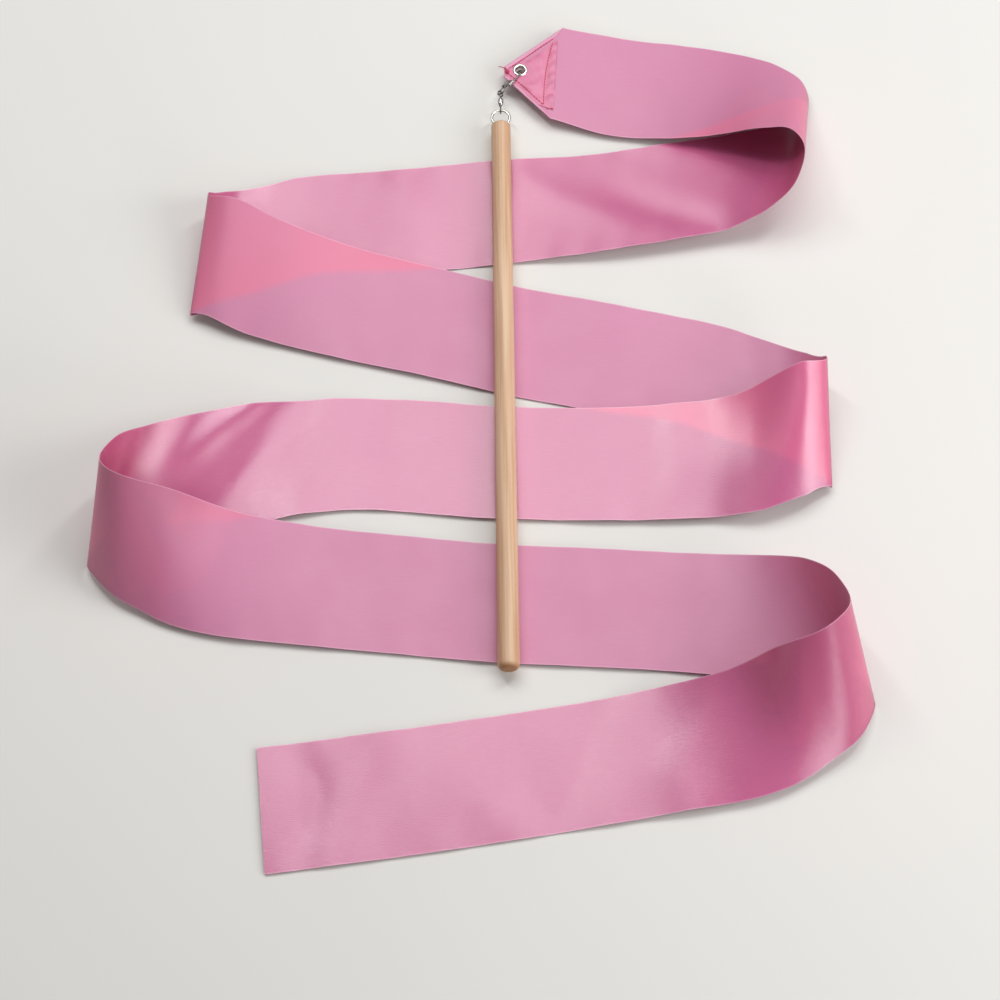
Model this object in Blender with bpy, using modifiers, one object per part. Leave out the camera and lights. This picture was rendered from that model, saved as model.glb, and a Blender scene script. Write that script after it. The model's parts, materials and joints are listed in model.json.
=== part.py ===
"""Rhythmic gymnastics ribbon wand, laid out on a flat surface.

A tapered wooden stick lies on a long satin ribbon that runs back and forth under it.
A screw eye in the stick's tip carries a barrel swivel, the swivel carries a wire snap, and the
snap passes through an eyelet in the ribbon's folded, stitched end.

Frame: metres, +Z up, the surface is z = 0, +Y runs from the stick's butt to its tip.
"""

import math

import bpy
import numpy as np
from mathutils import Matrix, Vector

MM = 0.001

# Clearances
GAP = 0.3 * MM  # between two pieces that touch on the real object
RUNNING_GAP = 0.25 * MM  # round a shank that turns in the swivel's barrel

# Stick
STICK_LENGTH = 300 * MM
STICK_TIP_DIAMETER = 9.8 * MM
STICK_BUTT_DIAMETER = 10.6 * MM
TIP_ROUNDING = 1.0 * MM
BUTT_END_DIAMETER = 4.8 * MM  # flat left in the middle of the rounded butt
BUTT_ROUNDING_LENGTH = 3.6 * MM
STICK_X = 14 * MM
STICK_TIP_Y = 168.8 * MM

# Screw eye in the stick's tip
RING_DIAMETER = 9.1 * MM  # to the middle of the wire
RING_WIRE = 1.4 * MM
RING_SUNK = 1.5 * MM  # how far the ring is screwed into the wood
SCREW_SHANK_DIAMETER = 1.3 * MM
SCREW_SHANK_LENGTH = 14 * MM

# Barrel swivel
EYE_DIAMETER = 3.0 * MM  # to the middle of the wire
EYE_WIRE = 0.8 * MM
EYE_NECK = 1.0 * MM  # bare shank between the eye and the barrel
BARREL_DIAMETER = 3.0 * MM
BARREL_END_DIAMETER = 2.3 * MM
BARREL_LENGTH = 4.4 * MM
BARREL_WALL = 0.4 * MM
BARREL_END_WALL = 0.5 * MM
SHANK_HEAD_OVERLAP = 0.2 * MM  # how far a shank's head reaches behind the barrel's end wall
SHANK_HEAD_THICKNESS = 0.5 * MM

# Wire snap
SNAP_WIRE = 0.8 * MM
SNAP_WIDTH = 5.4 * MM  # between the middles of the two legs
SNAP_LENGTH = 15.6 * MM  # from the middle of the lower bend to the top of the loop
SNAP_HEADING = 38  # degrees to the right of +Y
SNAP_ROLL = 50  # degrees that the loop's right leg stands above its left one
CLASP_LENGTH = 4.0 * MM
CLASP_SHEET = 0.35 * MM
CLASP_CENTRE = 5.4 * MM  # from the middle of the lower bend
SNAP_END_GAP = 1.2 * MM  # between the wire's two ends, under the clasp

# Ribbon
RIBBON_WIDTH = 60.5 * MM
RIBBON_THICKNESS = 0.5 * MM
RIBBON_SPACING = 6 * MM  # between two cross lines of the strip
LEAST_SLANT = 0.94  # a slanting cross line is no longer than the width over this
LIE_HEIGHT = 1.6 * MM  # middle of the ribbon's thickness, where the stick lies on it
FLAP_THICKNESS = 0.5 * MM
FLAP_SUNK = 0.2 * MM  # overlap that joins the folded flap to the strip under it
TIP_WIDTH = 6.0 * MM
TIP_TO_EYELET = 8.0 * MM

# Eyelet
EYELET_BORE = 4.8 * MM
EYELET_WALL = 0.3 * MM
EYELET_FLANGE_DIAMETER = 8.2 * MM
EYELET_FLANGE_THICKNESS = 0.4 * MM

# Sewing thread
THREAD = 0.5 * MM
SEAM_INSET = 2.2 * MM  # from the flap's edges
THREAD_TAIL = 6.0 * MM

# The strip after its folded end: centre x, y, z in mm, then the turn of its cross line about Z and
# the rise of that line's far end, in degrees. Each of the five turns stands on one edge.
STATIONS = [
    (46, 200, 6, -7, 0),
    (74, 194, 3, -7, 0),
    (105, 190, 4, -6, -4),
    (132, 185, 9, -10, -14),
    (152, 177, 18, -14, -26),
    (165, 167, 24, -13, -34),
    (169, 156, 23, -10, -36),
    (164, 147, 16, -7, -27),
    (151, 140, 10, -6, -16),
    (132, 135, 6, -5, -9),
    (105, 130, 5, -3, -7),
    (64, 124, 3.6, -2, -5),
    (24, 121, 1.6, -1, 0),
    (-38, 115, 1.6, 0, 0),
    (-82, 111, 1.6, 0, 0),
    (-113, 100, 4, -2, 6),
    (-131, 94, 8, -6, 12),
    (-138, 91, 12, -8, 15),
    (-130, 88, 16, -8, 17),
    (-105, 78, 12, -6, 15),
    (-65, 67, 5, -5, 5),
    (-20, 56, 2.5, -4, 0),
    (23, 45, 0.8, -4, 0),
    (64, 36, 0.8, -6, 0),
    (108, 25, 1, -8, 0),
    (141, 9, 4, -5, 5),
    (163, -3, 9, -1, 14),
    (171, -7, 13, 1, 20),
    (162, -11, 18, 1, 22),
    (132, -21, 11, -2, 10),
    (98, -23, 5, -2, 3),
    (60, -23, 2.4, -2, 0),
    (11, -21, 1.6, -1, 0),
    (-70, -16, 1.6, -1, 0),
    (-99, -20, 3, -1, 3),
    (-128, -29, 8, 1, 12),
    (-154, -39, 14, -1, 26),
    (-173, -48, 22, -9, 44),
    (-180, -58, 29, -20, 57),
    (-172, -68, 31, -17, 54),
    (-151, -76, 24, -10, 40),
    (-121, -81, 10, -3, 13),
    (-85, -85, 4, -1, 3),
    (-37, -90, 1.6, -1, 0),
    (10, -95, 1.6, -1, 0),
    (58, -98, 1.6, -2, 0),
    (99, -101, 2, -4, 1),
    (129, -105, 5, -3, 6),
    (155, -113, 13, 4, 22),
    (171, -123, 22, 16, 44),
    (176, -133, 29, 27, 56),
    (170, -144, 31, 26, 52),
    (151, -156, 26, 20, 42),
    (124, -164, 12, 9, 14),
    (91, -169, 4, 4, 2),
    (53, -175, 1, 2, 0),
    (-35, -188, 1, 2, 0),
    (-100, -196, 1, 5, 0),
]


def material(name, colour, roughness, metallic=0.0):
    made = bpy.data.materials.new(name)
    made.use_nodes = True
    shader = made.node_tree.nodes["Principled BSDF"]
    shader.inputs["Base Color"].default_value = (*colour, 1.0)
    shader.inputs["Roughness"].default_value = roughness
    shader.inputs["Metallic"].default_value = metallic
    return made


def collection(name):
    made = bpy.data.collections.new(name)
    bpy.context.scene.collection.children.link(made)
    return made


def clear_scene():
    for obj in list(bpy.data.objects):
        bpy.data.objects.remove(obj)


def put(obj, name, group, pivot=None, finish=None):
    """Names the object, moves it into a collection and hangs it on its pivot."""
    obj.name = name
    for old in list(obj.users_collection):
        old.objects.unlink(obj)
    group.objects.link(obj)
    obj.parent = pivot
    if finish:
        obj.data.materials.clear()
        obj.data.materials.append(finish)
    return obj


def pivot_at(name, group, place, turn=None):
    """An empty at a joint's axis, turned by a 3 x 3 matrix."""
    made = bpy.data.objects.new(name, None)
    group.objects.link(made)
    made.empty_display_size = 5 * MM
    rows = (turn or Matrix.Identity(3)).to_4x4()
    made.matrix_world = Matrix.Translation(place) @ rows
    return made


def mesh_object(name, points, faces):
    mesh = bpy.data.meshes.new(name)
    mesh.from_pydata([tuple(p) for p in points], [], faces)
    return bpy.data.objects.new(name, mesh)


def along_y(obj):
    """Turns an object made along Z so that it runs along +Y."""
    obj.rotation_euler = (-math.pi / 2, 0, 0)
    return obj


def smooth(obj):
    obj.data.shade_smooth()
    obj.data.set_sharp_from_angle(angle=math.radians(40))
    return obj


def turned(name, profile, steps=32):
    """A solid of revolution about Z. The profile is (radius, z), from the top down its outer side."""
    edges = [(i, i + 1) for i in range(len(profile) - 1)]
    if profile[0][0] > 0:
        edges.append((len(profile) - 1, 0))
    mesh = bpy.data.meshes.new(name)
    mesh.from_pydata([(radius, 0, z) for radius, z in profile], edges, [])
    obj = bpy.data.objects.new(name, mesh)
    screw = obj.modifiers.new("Screw", "SCREW")
    screw.steps = steps
    screw.render_steps = steps
    screw.use_merge_vertices = True
    screw.merge_threshold = 0.00001
    return obj


def wire_ring(diameter, wire, around=32, sides=10):
    bpy.ops.mesh.primitive_torus_add(
        major_radius=diameter / 2,
        minor_radius=wire / 2,
        major_segments=around,
        minor_segments=sides,
    )
    return bpy.context.object


def rod(diameter, length, sides=20):
    bpy.ops.mesh.primitive_cylinder_add(radius=diameter / 2, depth=length, vertices=sides)
    return bpy.context.object


def use_tool(obj, tool, operation, tools, pivot=None):
    """Joins the tool to the object or cuts it out, and puts it away with the other tools."""
    put(tool, f"{obj.name}_{operation.lower()}_{len(obj.modifiers)}", tools, pivot)
    tool.hide_render = True
    tool.display_type = "WIRE"
    step = obj.modifiers.new(operation.title(), "BOOLEAN")
    step.operation = operation
    step.solver = "EXACT"
    step.object = tool


def arc(centre, radius_x, radius_y, start, end, count):
    """Points on an arc between two angles in degrees, both ends included."""
    for angle in np.radians(np.linspace(start, end, count)):
        yield (centre[0] + radius_x * math.cos(angle), centre[1] + radius_y * math.sin(angle))


# Places that follow from the sizes above, in world coordinates
ribbon_top = LIE_HEIGHT + RIBBON_THICKNESS / 2
AXIS_Z = ribbon_top + GAP + STICK_BUTT_DIAMETER / 2
RING_CENTRE = Vector(
    (STICK_X, STICK_TIP_Y + (RING_DIAMETER + RING_WIRE) / 2 - RING_SUNK, AXIS_Z)
)
RING_PIVOT = RING_CENTRE + Vector((0, RING_DIAMETER / 2, 0))
EYE_REACH = (EYE_DIAMETER + EYE_WIRE) / 2 + EYE_NECK  # from an eye's centre to the barrel
BARREL_CENTRE = RING_PIVOT + Vector((0, EYE_REACH + BARREL_LENGTH / 2, 0))
SNAP_PIVOT = BARREL_CENTRE + Vector((0, BARREL_LENGTH / 2 + EYE_REACH, 0))


def snap_frame():
    """The snap's own axes: along the loop, across it and out of its plane, then its origin.

    The upper eye hangs where the lower bend's wire crosses the swivel's axis at a right angle.
    """
    heading = math.radians(SNAP_HEADING)
    roll = math.radians(SNAP_ROLL)
    along = Vector((math.sin(heading), math.cos(heading), 0))
    right = Vector((math.cos(heading), -math.sin(heading), 0))
    across = right * math.cos(roll) + Vector((0, 0, math.sin(roll)))
    out = along.cross(across)
    turn = math.atan2(-across.y, along.y)
    reach = -math.cos(turn) * along + math.sin(turn) * across
    wire = math.sin(turn) * along + math.cos(turn) * across
    origin = SNAP_PIVOT - reach * SNAP_WIDTH / 2
    return along, across, out, origin, wire


SNAP_ALONG, SNAP_ACROSS, SNAP_OUT, SNAP_ORIGIN, SNAP_PIVOT_AXIS = snap_frame()
EYELET_CENTRE = SNAP_ORIGIN + SNAP_ALONG * SNAP_LENGTH


def make_stick(group, tools):
    pivot = pivot_at("ring_pivot", group, RING_PIVOT)
    tip_radius = STICK_TIP_DIAMETER / 2
    butt_radius = STICK_BUTT_DIAMETER / 2
    flat_radius = BUTT_END_DIAMETER / 2
    profile = [(0, 0)]
    profile += arc(
        (tip_radius - TIP_ROUNDING, -TIP_ROUNDING), TIP_ROUNDING, TIP_ROUNDING, 90, 0, 5
    )
    profile += arc(
        (flat_radius, -STICK_LENGTH + BUTT_ROUNDING_LENGTH),
        butt_radius - flat_radius,
        BUTT_ROUNDING_LENGTH,
        0,
        -90,
        7,
    )
    profile.append((0, -STICK_LENGTH))
    wood = material("beech", (0.68, 0.47, 0.34), 0.55)
    stick = put(turned("stick", profile, 40), "stick", group, pivot, wood)
    along_y(stick)
    stick.location = Vector((STICK_X, STICK_TIP_Y, AXIS_Z)) - RING_PIVOT
    seat = wire_ring(RING_DIAMETER, RING_WIRE + 2 * GAP, 40, 12)
    seat.location = RING_CENTRE - RING_PIVOT
    use_tool(stick, seat, "DIFFERENCE", tools, pivot)
    hole = along_y(rod(SCREW_SHANK_DIAMETER + 2 * GAP, SCREW_SHANK_LENGTH + GAP))
    hole.location = screw_shank_middle(SCREW_SHANK_LENGTH + GAP) - RING_PIVOT
    use_tool(stick, hole, "DIFFERENCE", tools, pivot)
    smooth(stick)
    make_screw_eye(group, tools, pivot)


def screw_shank_middle(length):
    """The shank starts in the middle of the ring's wire, where the ring meets it."""
    return RING_CENTRE - Vector((0, RING_DIAMETER / 2 + length / 2, 0))


def make_screw_eye(group, tools, pivot):
    steel = material("bright_nickel_wire", (0.80, 0.80, 0.79), 0.18, 1.0)
    eye = put(wire_ring(RING_DIAMETER, RING_WIRE), "screw_eye", group, pivot, steel)
    eye.location = RING_CENTRE - RING_PIVOT
    shank = along_y(rod(SCREW_SHANK_DIAMETER, SCREW_SHANK_LENGTH))
    shank.location = screw_shank_middle(SCREW_SHANK_LENGTH) - RING_PIVOT
    use_tool(eye, shank, "UNION", tools, pivot)
    smooth(eye)


def make_swivel_eye(name, place, side, axis, group, tools, finish):
    """A wire eye with a headed shank. side is +1 where the barrel lies towards +Y, or -1."""
    roll = math.atan2(axis.z, axis.x)
    turn = Matrix.Rotation(-roll, 3, "Y")
    pivot = pivot_at(f"{name}_pivot", group, place, turn)
    eye = put(wire_ring(EYE_DIAMETER, EYE_WIRE, 28, 10), name, group, pivot, finish)
    eye.rotation_euler = (0, math.pi / 2, 0)
    head_start = EYE_REACH + BARREL_END_WALL + GAP
    start = EYE_DIAMETER / 2
    end = head_start + SHANK_HEAD_THICKNESS / 2
    shank = along_y(rod(EYE_WIRE, end - start, 14))
    shank.location = (0, side * (start + end) / 2, 0)
    use_tool(eye, shank, "UNION", tools, pivot)
    head_diameter = EYE_WIRE + 2 * RUNNING_GAP + 2 * SHANK_HEAD_OVERLAP
    head = along_y(rod(head_diameter, SHANK_HEAD_THICKNESS, 16))
    head.location = (0, side * (head_start + SHANK_HEAD_THICKNESS / 2), 0)
    use_tool(eye, head, "UNION", tools, pivot)
    return smooth(eye)


def make_swivel(group, tools):
    dark_nickel = material("black_nickel_brass", (0.42, 0.41, 0.40), 0.22, 1.0)
    barrel_nickel = material("bright_nickel_brass", (0.72, 0.71, 0.70), 0.20, 1.0)
    make_swivel_eye(
        "swivel_lower_eye", RING_PIVOT, 1, Vector((1, 0, 0)), group, tools, dark_nickel
    )
    make_swivel_eye(
        "swivel_upper_eye", SNAP_PIVOT, -1, SNAP_PIVOT_AXIS, group, tools, dark_nickel
    )
    half = BARREL_LENGTH / 2
    belly = BARREL_DIAMETER / 2
    end = BARREL_END_DIAMETER / 2
    hole = EYE_WIRE / 2 + RUNNING_GAP
    cavity = belly - BARREL_WALL
    inner = half - BARREL_END_WALL
    profile = [(hole, half), (end, half)]
    profile += [(belly, half * 0.55), (belly, -half * 0.55)]
    profile += [(end, -half), (hole, -half), (hole, -inner)]
    profile += [(cavity - BARREL_WALL, -inner), (cavity, -inner * 0.6)]
    profile += [(cavity, inner * 0.6), (cavity - BARREL_WALL, inner), (hole, inner)]
    barrel = put(turned("swivel_barrel", profile, 24), "swivel_barrel", group, None, barrel_nickel)
    along_y(barrel)
    barrel.location = BARREL_CENTRE
    smooth(barrel)


def snap_route():
    """The bent wire, from its end under the clasp, round the top and the lower bend, and back."""
    half = SNAP_WIDTH / 2
    straight = SNAP_LENGTH - half
    route = [(half, CLASP_CENTRE + SNAP_END_GAP / 2)]
    route += arc((0, straight), half, half, 0, 180, 15)
    route += arc((0, 0), half, half, 180, 360, 15)
    route.append((half, CLASP_CENTRE - SNAP_END_GAP / 2))
    return route


def make_snap(group):
    turn = Matrix((SNAP_ACROSS, SNAP_ALONG, -SNAP_OUT)).transposed()
    pivot = pivot_at("snap_pivot", group, EYELET_CENTRE, turn)
    dark_nickel = material("black_nickel_spring_steel", (0.40, 0.39, 0.38), 0.25, 1.0)
    curve = bpy.data.curves.new("snap_wire", "CURVE")
    curve.dimensions = "3D"
    curve.bevel_depth = SNAP_WIRE / 2
    curve.bevel_resolution = 2
    curve.use_fill_caps = True
    route = snap_route()
    spline = curve.splines.new("POLY")
    spline.points.add(len(route) - 1)
    for point, (across, along) in zip(spline.points, route):
        point.co = (across, along - SNAP_LENGTH, 0, 1)
    wire = bpy.data.objects.new("snap_wire", curve)
    put(wire, "snap_wire", group, pivot, dark_nickel)
    make_clasp(group, turn)


def make_clasp(group, turn):
    """A bent sheet clasp: it hinges round the snap's lower leg and hooks over the upper one."""
    hinge = SNAP_ORIGIN - SNAP_ACROSS * SNAP_WIDTH / 2 + SNAP_ALONG * CLASP_CENTRE
    pivot = pivot_at("clasp_pivot", group, hinge, turn)
    wrap = (SNAP_WIRE + CLASP_SHEET) / 2 + GAP
    section = list(arc((0, 0), wrap, wrap, 400, 90, 16))
    section += arc((SNAP_WIDTH, 0), wrap, wrap, 90, 0, 5)
    section.append((SNAP_WIDTH + wrap, -wrap * 0.3))
    half = CLASP_LENGTH / 2
    points = [(x, y, z) for y in (-half, half) for x, z in section]
    count = len(section)
    faces = [(i, i + 1, count + i + 1, count + i) for i in range(count - 1)]
    clasp = mesh_object("snap_clasp", points, faces)
    steel = material("nickel_sheet", (0.55, 0.54, 0.52), 0.3, 1.0)
    put(clasp, "snap_clasp", group, pivot, steel)
    sheet = clasp.modifiers.new("Sheet", "SOLIDIFY")
    sheet.thickness = CLASP_SHEET
    sheet.offset = 0
    smooth(clasp)


def cross_line(yaw, tilt):
    """Unit vector from the ribbon's near edge to its far edge."""
    yaw, tilt = math.radians(yaw), math.radians(tilt)
    return (-math.sin(yaw) * math.cos(tilt), math.cos(yaw) * math.cos(tilt), math.sin(tilt))


def through(knots, values, at):
    """Smooth curve through values at their knots, as a cubic with the slope of its neighbours."""
    slopes = np.gradient(values, knots, axis=0)
    low = np.clip(np.searchsorted(knots, at, side="right") - 1, 0, len(knots) - 2)
    step = (knots[low + 1] - knots[low])[:, None]
    t = (at - knots[low])[:, None] / step
    start = (1 + 2 * t) * (1 - t) ** 2 * values[low] + t * (1 - t) ** 2 * step * slopes[low]
    end = t**2 * (3 - 2 * t) * values[low + 1] + t**2 * (t - 1) * step * slopes[low + 1]
    return start + end


def ribbon_lines():
    """The near and far ends of the strip's cross lines, from its folded end to its cut end.

    The folded end is a right-angled point round the eyelet, so its cross lines grow by one
    millimetre on each side for each millimetre from its tip.
    """
    rows = np.array(STATIONS, float)
    base = rows[0, :3] * MM
    centre = np.array(EYELET_CENTRE)
    base[2] = centre[2]
    back = (centre - base) / np.linalg.norm(centre - base)
    tip = centre + back * TIP_TO_EYELET
    centres = np.vstack([base, rows[1:, :3] * MM])
    lines = np.array([cross_line(yaw, tilt) for yaw, tilt in rows[:, 3:]])
    steps = np.linalg.norm(np.diff(centres, axis=0), axis=1)
    knots = np.concatenate([[0], np.cumsum(steps)])
    at = np.linspace(0, knots[-1], round(knots[-1] / RIBBON_SPACING) + 1)
    middle = through(knots, centres, at)
    line = through(knots, lines, at)
    tangent = np.gradient(middle, at, axis=0)
    across = np.linalg.norm(np.cross(tangent, line), axis=1) / np.linalg.norm(tangent, axis=1)
    half = line * (RIBBON_WIDTH / 2 / np.maximum(across, LEAST_SLANT))[:, None]
    first = half[0] * TIP_WIDTH / RIBBON_WIDTH
    shoulder = tip - back * (RIBBON_WIDTH - TIP_WIDTH) / 2
    middle = np.vstack([tip, shoulder, middle[1:]])
    half = np.vstack([first, half])
    near, far = middle - half, middle + half
    for edge in (near, far):
        edge[:, 2] = np.maximum(edge[:, 2], RIBBON_THICKNESS / 2)
    return near, far


def make_ribbon(group, tools):
    near, far = ribbon_lines()
    rows = np.stack([near, (near + far) / 2, far], axis=1)
    count = len(rows)
    points = rows.reshape(-1, 3)
    faces = [
        (3 * i + j, 3 * i + 3 + j, 3 * i + 4 + j, 3 * i + 1 + j)
        for i in range(count - 1)
        for j in range(2)
    ]
    ribbon = mesh_object("ribbon", points, faces)
    satin = material("pink_satin", (0.70, 0.33, 0.48), 0.4)
    put(ribbon, "ribbon", group, None, satin)
    cloth = ribbon.modifiers.new("Cloth", "SOLIDIFY")
    cloth.thickness = RIBBON_THICKNESS
    cloth.offset = 0
    bottom = EYELET_CENTRE.z + RIBBON_THICKNESS / 2 - FLAP_SUNK
    corners = [Vector(p).xy for p in (near[0], near[1], far[1], far[0])]
    flap = flap_solid(corners, bottom)
    use_tool(ribbon, flap, "UNION", tools)
    hole = rod(EYELET_BORE + 2 * EYELET_WALL + 2 * GAP, 10 * RIBBON_THICKNESS, 28)
    hole.location = EYELET_CENTRE
    use_tool(ribbon, hole, "DIFFERENCE", tools)
    smooth(ribbon)
    make_eyelet(group)
    make_stitching(group, corners, bottom + FLAP_THICKNESS)


def inset(corners, distance):
    """The corners of an outline moved inwards, each along the mean of its two sides' normals."""
    count = len(corners)
    moved = []
    for i, corner in enumerate(corners):
        before = (corner - corners[i - 1]).normalized()
        after = (corners[(i + 1) % count] - corner).normalized()
        normal = Vector((-before.y - after.y, before.x + after.x))
        scale = 1 / (1 + before.dot(after))
        moved.append(corner + normal * scale * distance)
    return moved


def flap_solid(corners, bottom):
    """The folded-over layer, a plate just inside the point's own outline."""
    outline = inset(corners, GAP)
    lower = [(p.x, p.y, bottom) for p in outline]
    upper = [(p.x, p.y, bottom + FLAP_THICKNESS) for p in outline]
    sides = [(i, (i + 1) % 4, 4 + (i + 1) % 4, 4 + i) for i in range(4)]
    return mesh_object("flap", lower + upper, [(3, 2, 1, 0), (4, 5, 6, 7), *sides])


def make_eyelet(group):
    silver = material("nickel_plated_brass", (0.78, 0.78, 0.77), 0.2, 1.0)
    bore = EYELET_BORE / 2
    barrel = bore + EYELET_WALL
    flange = EYELET_FLANGE_DIAMETER / 2
    thick = EYELET_FLANGE_THICKNESS
    top = RIBBON_THICKNESS / 2 - FLAP_SUNK + FLAP_THICKNESS + GAP
    under = -RIBBON_THICKNESS / 2 - GAP
    profile = [(bore, top + thick * 0.6), (bore + thick * 0.6, top + thick)]
    profile += [(flange - thick, top + thick), (flange, top + thick / 3), (flange, top)]
    profile += [(barrel, top), (barrel, under - thick), (bore, under - thick)]
    eyelet = put(turned("eyelet", profile, 32), "eyelet", group, None, silver)
    eyelet.location = EYELET_CENTRE
    smooth(eyelet)
    hole = barrel + GAP
    profile = [(hole, under), (flange, under), (flange, under - thick), (hole, under - thick)]
    washer = put(turned("eyelet_washer", profile, 32), "eyelet_washer", group, None, silver)
    washer.location = EYELET_CENTRE
    smooth(washer)


def make_stitching(group, corners, top):
    """One thread: from its loose tail along the point's lower side, its base and its upper side."""
    seam = inset(corners, SEAM_INSET)
    height = top + GAP + THREAD / 2
    start = seam[0] + (seam[3] - seam[0]) * 0.2
    finish = seam[0] + (seam[3] - seam[0]) * 0.8
    tail = finish + Vector((-0.8, 0.6)) * THREAD_TAIL
    route = [start, *seam[1:3], finish, tail]
    curve = bpy.data.curves.new("ribbon_stitching", "CURVE")
    curve.dimensions = "3D"
    curve.bevel_depth = THREAD / 2
    curve.bevel_resolution = 1
    curve.use_fill_caps = True
    spline = curve.splines.new("POLY")
    spline.points.add(len(route) - 1)
    for point, place in zip(spline.points, route):
        point.co = (place.x, place.y, height, 1)
    thread = bpy.data.objects.new("ribbon_stitching", curve)
    red = material("red_polyester_thread", (0.55, 0.05, 0.12), 0.6)
    put(thread, "ribbon_stitching", group, None, red)


def main():
    clear_scene()
    wand = collection("rhythmic_ribbon_wand")
    tools = collection("tools")
    make_stick(wand, tools)
    make_swivel(wand, tools)
    make_snap(wand)
    make_ribbon(wand, tools)


main()
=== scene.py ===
"""Looks of a rhythmic gymnastics ribbon wand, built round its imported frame.

The frame is in metres: +Z up, the surface is z = 0, +Y runs along the stick from butt to tip.
"""

import json
import math

import bpy
import numpy as np
from bpy.props import FloatProperty, FloatVectorProperty, PointerProperty
from mathutils import Matrix, Vector
from mathutils.bvhtree import BVHTree


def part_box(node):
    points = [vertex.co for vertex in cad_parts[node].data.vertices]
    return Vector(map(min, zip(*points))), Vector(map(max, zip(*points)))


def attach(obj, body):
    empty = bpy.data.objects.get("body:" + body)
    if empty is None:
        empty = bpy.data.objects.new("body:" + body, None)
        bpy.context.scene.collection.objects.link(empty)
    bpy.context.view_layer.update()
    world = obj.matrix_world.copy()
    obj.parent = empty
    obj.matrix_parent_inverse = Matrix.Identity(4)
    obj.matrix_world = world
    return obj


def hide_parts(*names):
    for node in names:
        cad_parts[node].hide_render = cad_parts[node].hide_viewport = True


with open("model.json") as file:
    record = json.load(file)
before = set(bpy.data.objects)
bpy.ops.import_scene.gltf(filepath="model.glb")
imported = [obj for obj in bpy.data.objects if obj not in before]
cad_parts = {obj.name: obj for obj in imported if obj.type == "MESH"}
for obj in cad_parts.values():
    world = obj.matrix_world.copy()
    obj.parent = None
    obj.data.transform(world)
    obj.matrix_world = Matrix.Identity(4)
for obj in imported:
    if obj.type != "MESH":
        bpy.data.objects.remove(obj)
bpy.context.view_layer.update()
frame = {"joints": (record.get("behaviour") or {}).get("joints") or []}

bl_info = {
    "name": "Rhythmic Ribbon Wand",
    "version": (1, 0, 0),
    "blender": (4, 5, 0),
    "location": "View3D > Sidebar > Ribbon Wand",
    "description": "Builds a satin gymnastics ribbon on its wooden stick, piece by piece",
    "category": "Add Mesh",
}

MM = 0.001

# Where the frame's pieces are
STICK_LOW, STICK_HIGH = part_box("stick")
STICK_X = (STICK_LOW.x + STICK_HIGH.x) / 2
AXIS_Z = (STICK_LOW.z + STICK_HIGH.z) / 2
BUTT_Y, TIP_Y = STICK_LOW.y, STICK_HIGH.y
JOINTS = {joint["name"]: joint for joint in frame["joints"]}
RING_PIVOT = Vector(JOINTS["stick_swing"]["pos_m"])
SNAP_PIVOT = Vector(JOINTS["upper_eye_swing"]["pos_m"])
SNAP_PIVOT_AXIS = -Vector(JOINTS["upper_eye_swing"]["axis"])
BARREL_CENTRE = Vector(JOINTS["barrel_spin"]["pos_m"])
SWIVEL_ALONG = Vector(JOINTS["barrel_spin"]["axis"])
SWIVEL_RIGHT = Vector((SWIVEL_ALONG.y, -SWIVEL_ALONG.x, 0))
EYELET = Vector(JOINTS["snap_lift"]["pos_m"])
CLASP_HINGE = Vector(JOINTS["clasp_open"]["pos_m"])
SNAP_ALONG = -Vector(JOINTS["clasp_open"]["axis"])
SNAP_RIGHT = -Vector(JOINTS["snap_lift"]["axis"])
EYELET_LOW, EYELET_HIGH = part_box("eyelet")

# The strip after its folded end: centre x, y, z in mm, then the turn of its cross line about Z and
# the rise of that line's far end, in degrees. Each of the five turns stands on one edge.
STATIONS = [
    (46, 200, 6, -7, 0),
    (74, 194, 3, -7, 0),
    (105, 190, 4, -6, -4),
    (132, 185, 9, -10, -14),
    (152, 177, 18, -14, -26),
    (165, 167, 24, -13, -34),
    (169, 156, 23, -10, -36),
    (164, 147, 16, -7, -27),
    (151, 140, 10, -6, -16),
    (132, 135, 6, -5, -9),
    (105, 130, 5, -3, -7),
    (64, 124, 3.6, -2, -5),
    (24, 121, 1.6, -1, 0),
    (-38, 115, 1.6, 0, 0),
    (-82, 111, 1.6, 0, 0),
    (-113, 100, 4, -2, 6),
    (-131, 94, 8, -6, 12),
    (-138, 91, 12, -8, 15),
    (-130, 88, 16, -8, 17),
    (-105, 78, 12, -6, 15),
    (-65, 67, 5, -5, 5),
    (-20, 56, 2.5, -4, 0),
    (23, 45, 0.8, -4, 0),
    (64, 36, 0.8, -6, 0),
    (108, 25, 1, -8, 0),
    (141, 9, 4, -5, 5),
    (163, -3, 9, -1, 14),
    (171, -7, 13, 1, 20),
    (162, -11, 18, 1, 22),
    (132, -21, 11, -2, 10),
    (98, -23, 5, -2, 3),
    (60, -23, 2.4, -2, 0),
    (11, -21, 1.6, -1, 0),
    (-70, -16, 1.6, -1, 0),
    (-99, -20, 3, -1, 3),
    (-128, -29, 8, 1, 12),
    (-154, -39, 14, -1, 26),
    (-173, -48, 22, -9, 44),
    (-180, -58, 29, -20, 57),
    (-172, -68, 31, -17, 54),
    (-151, -76, 24, -10, 40),
    (-121, -81, 10, -3, 13),
    (-85, -85, 4, -1, 3),
    (-37, -90, 1.6, -1, 0),
    (10, -95, 1.6, -1, 0),
    (58, -98, 1.6, -2, 0),
    (99, -101, 2, -4, 1),
    (129, -105, 5, -3, 6),
    (155, -113, 13, 4, 22),
    (171, -123, 22, 16, 44),
    (176, -133, 29, 27, 56),
    (170, -144, 31, 26, 52),
    (151, -156, 26, 20, 42),
    (124, -164, 12, 9, 14),
    (91, -169, 4, 4, 2),
    (53, -175, 1, 2, 0),
    (-35, -188, 1, 2, 0),
    (-100, -196, 1, 5, 0),
]

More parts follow.
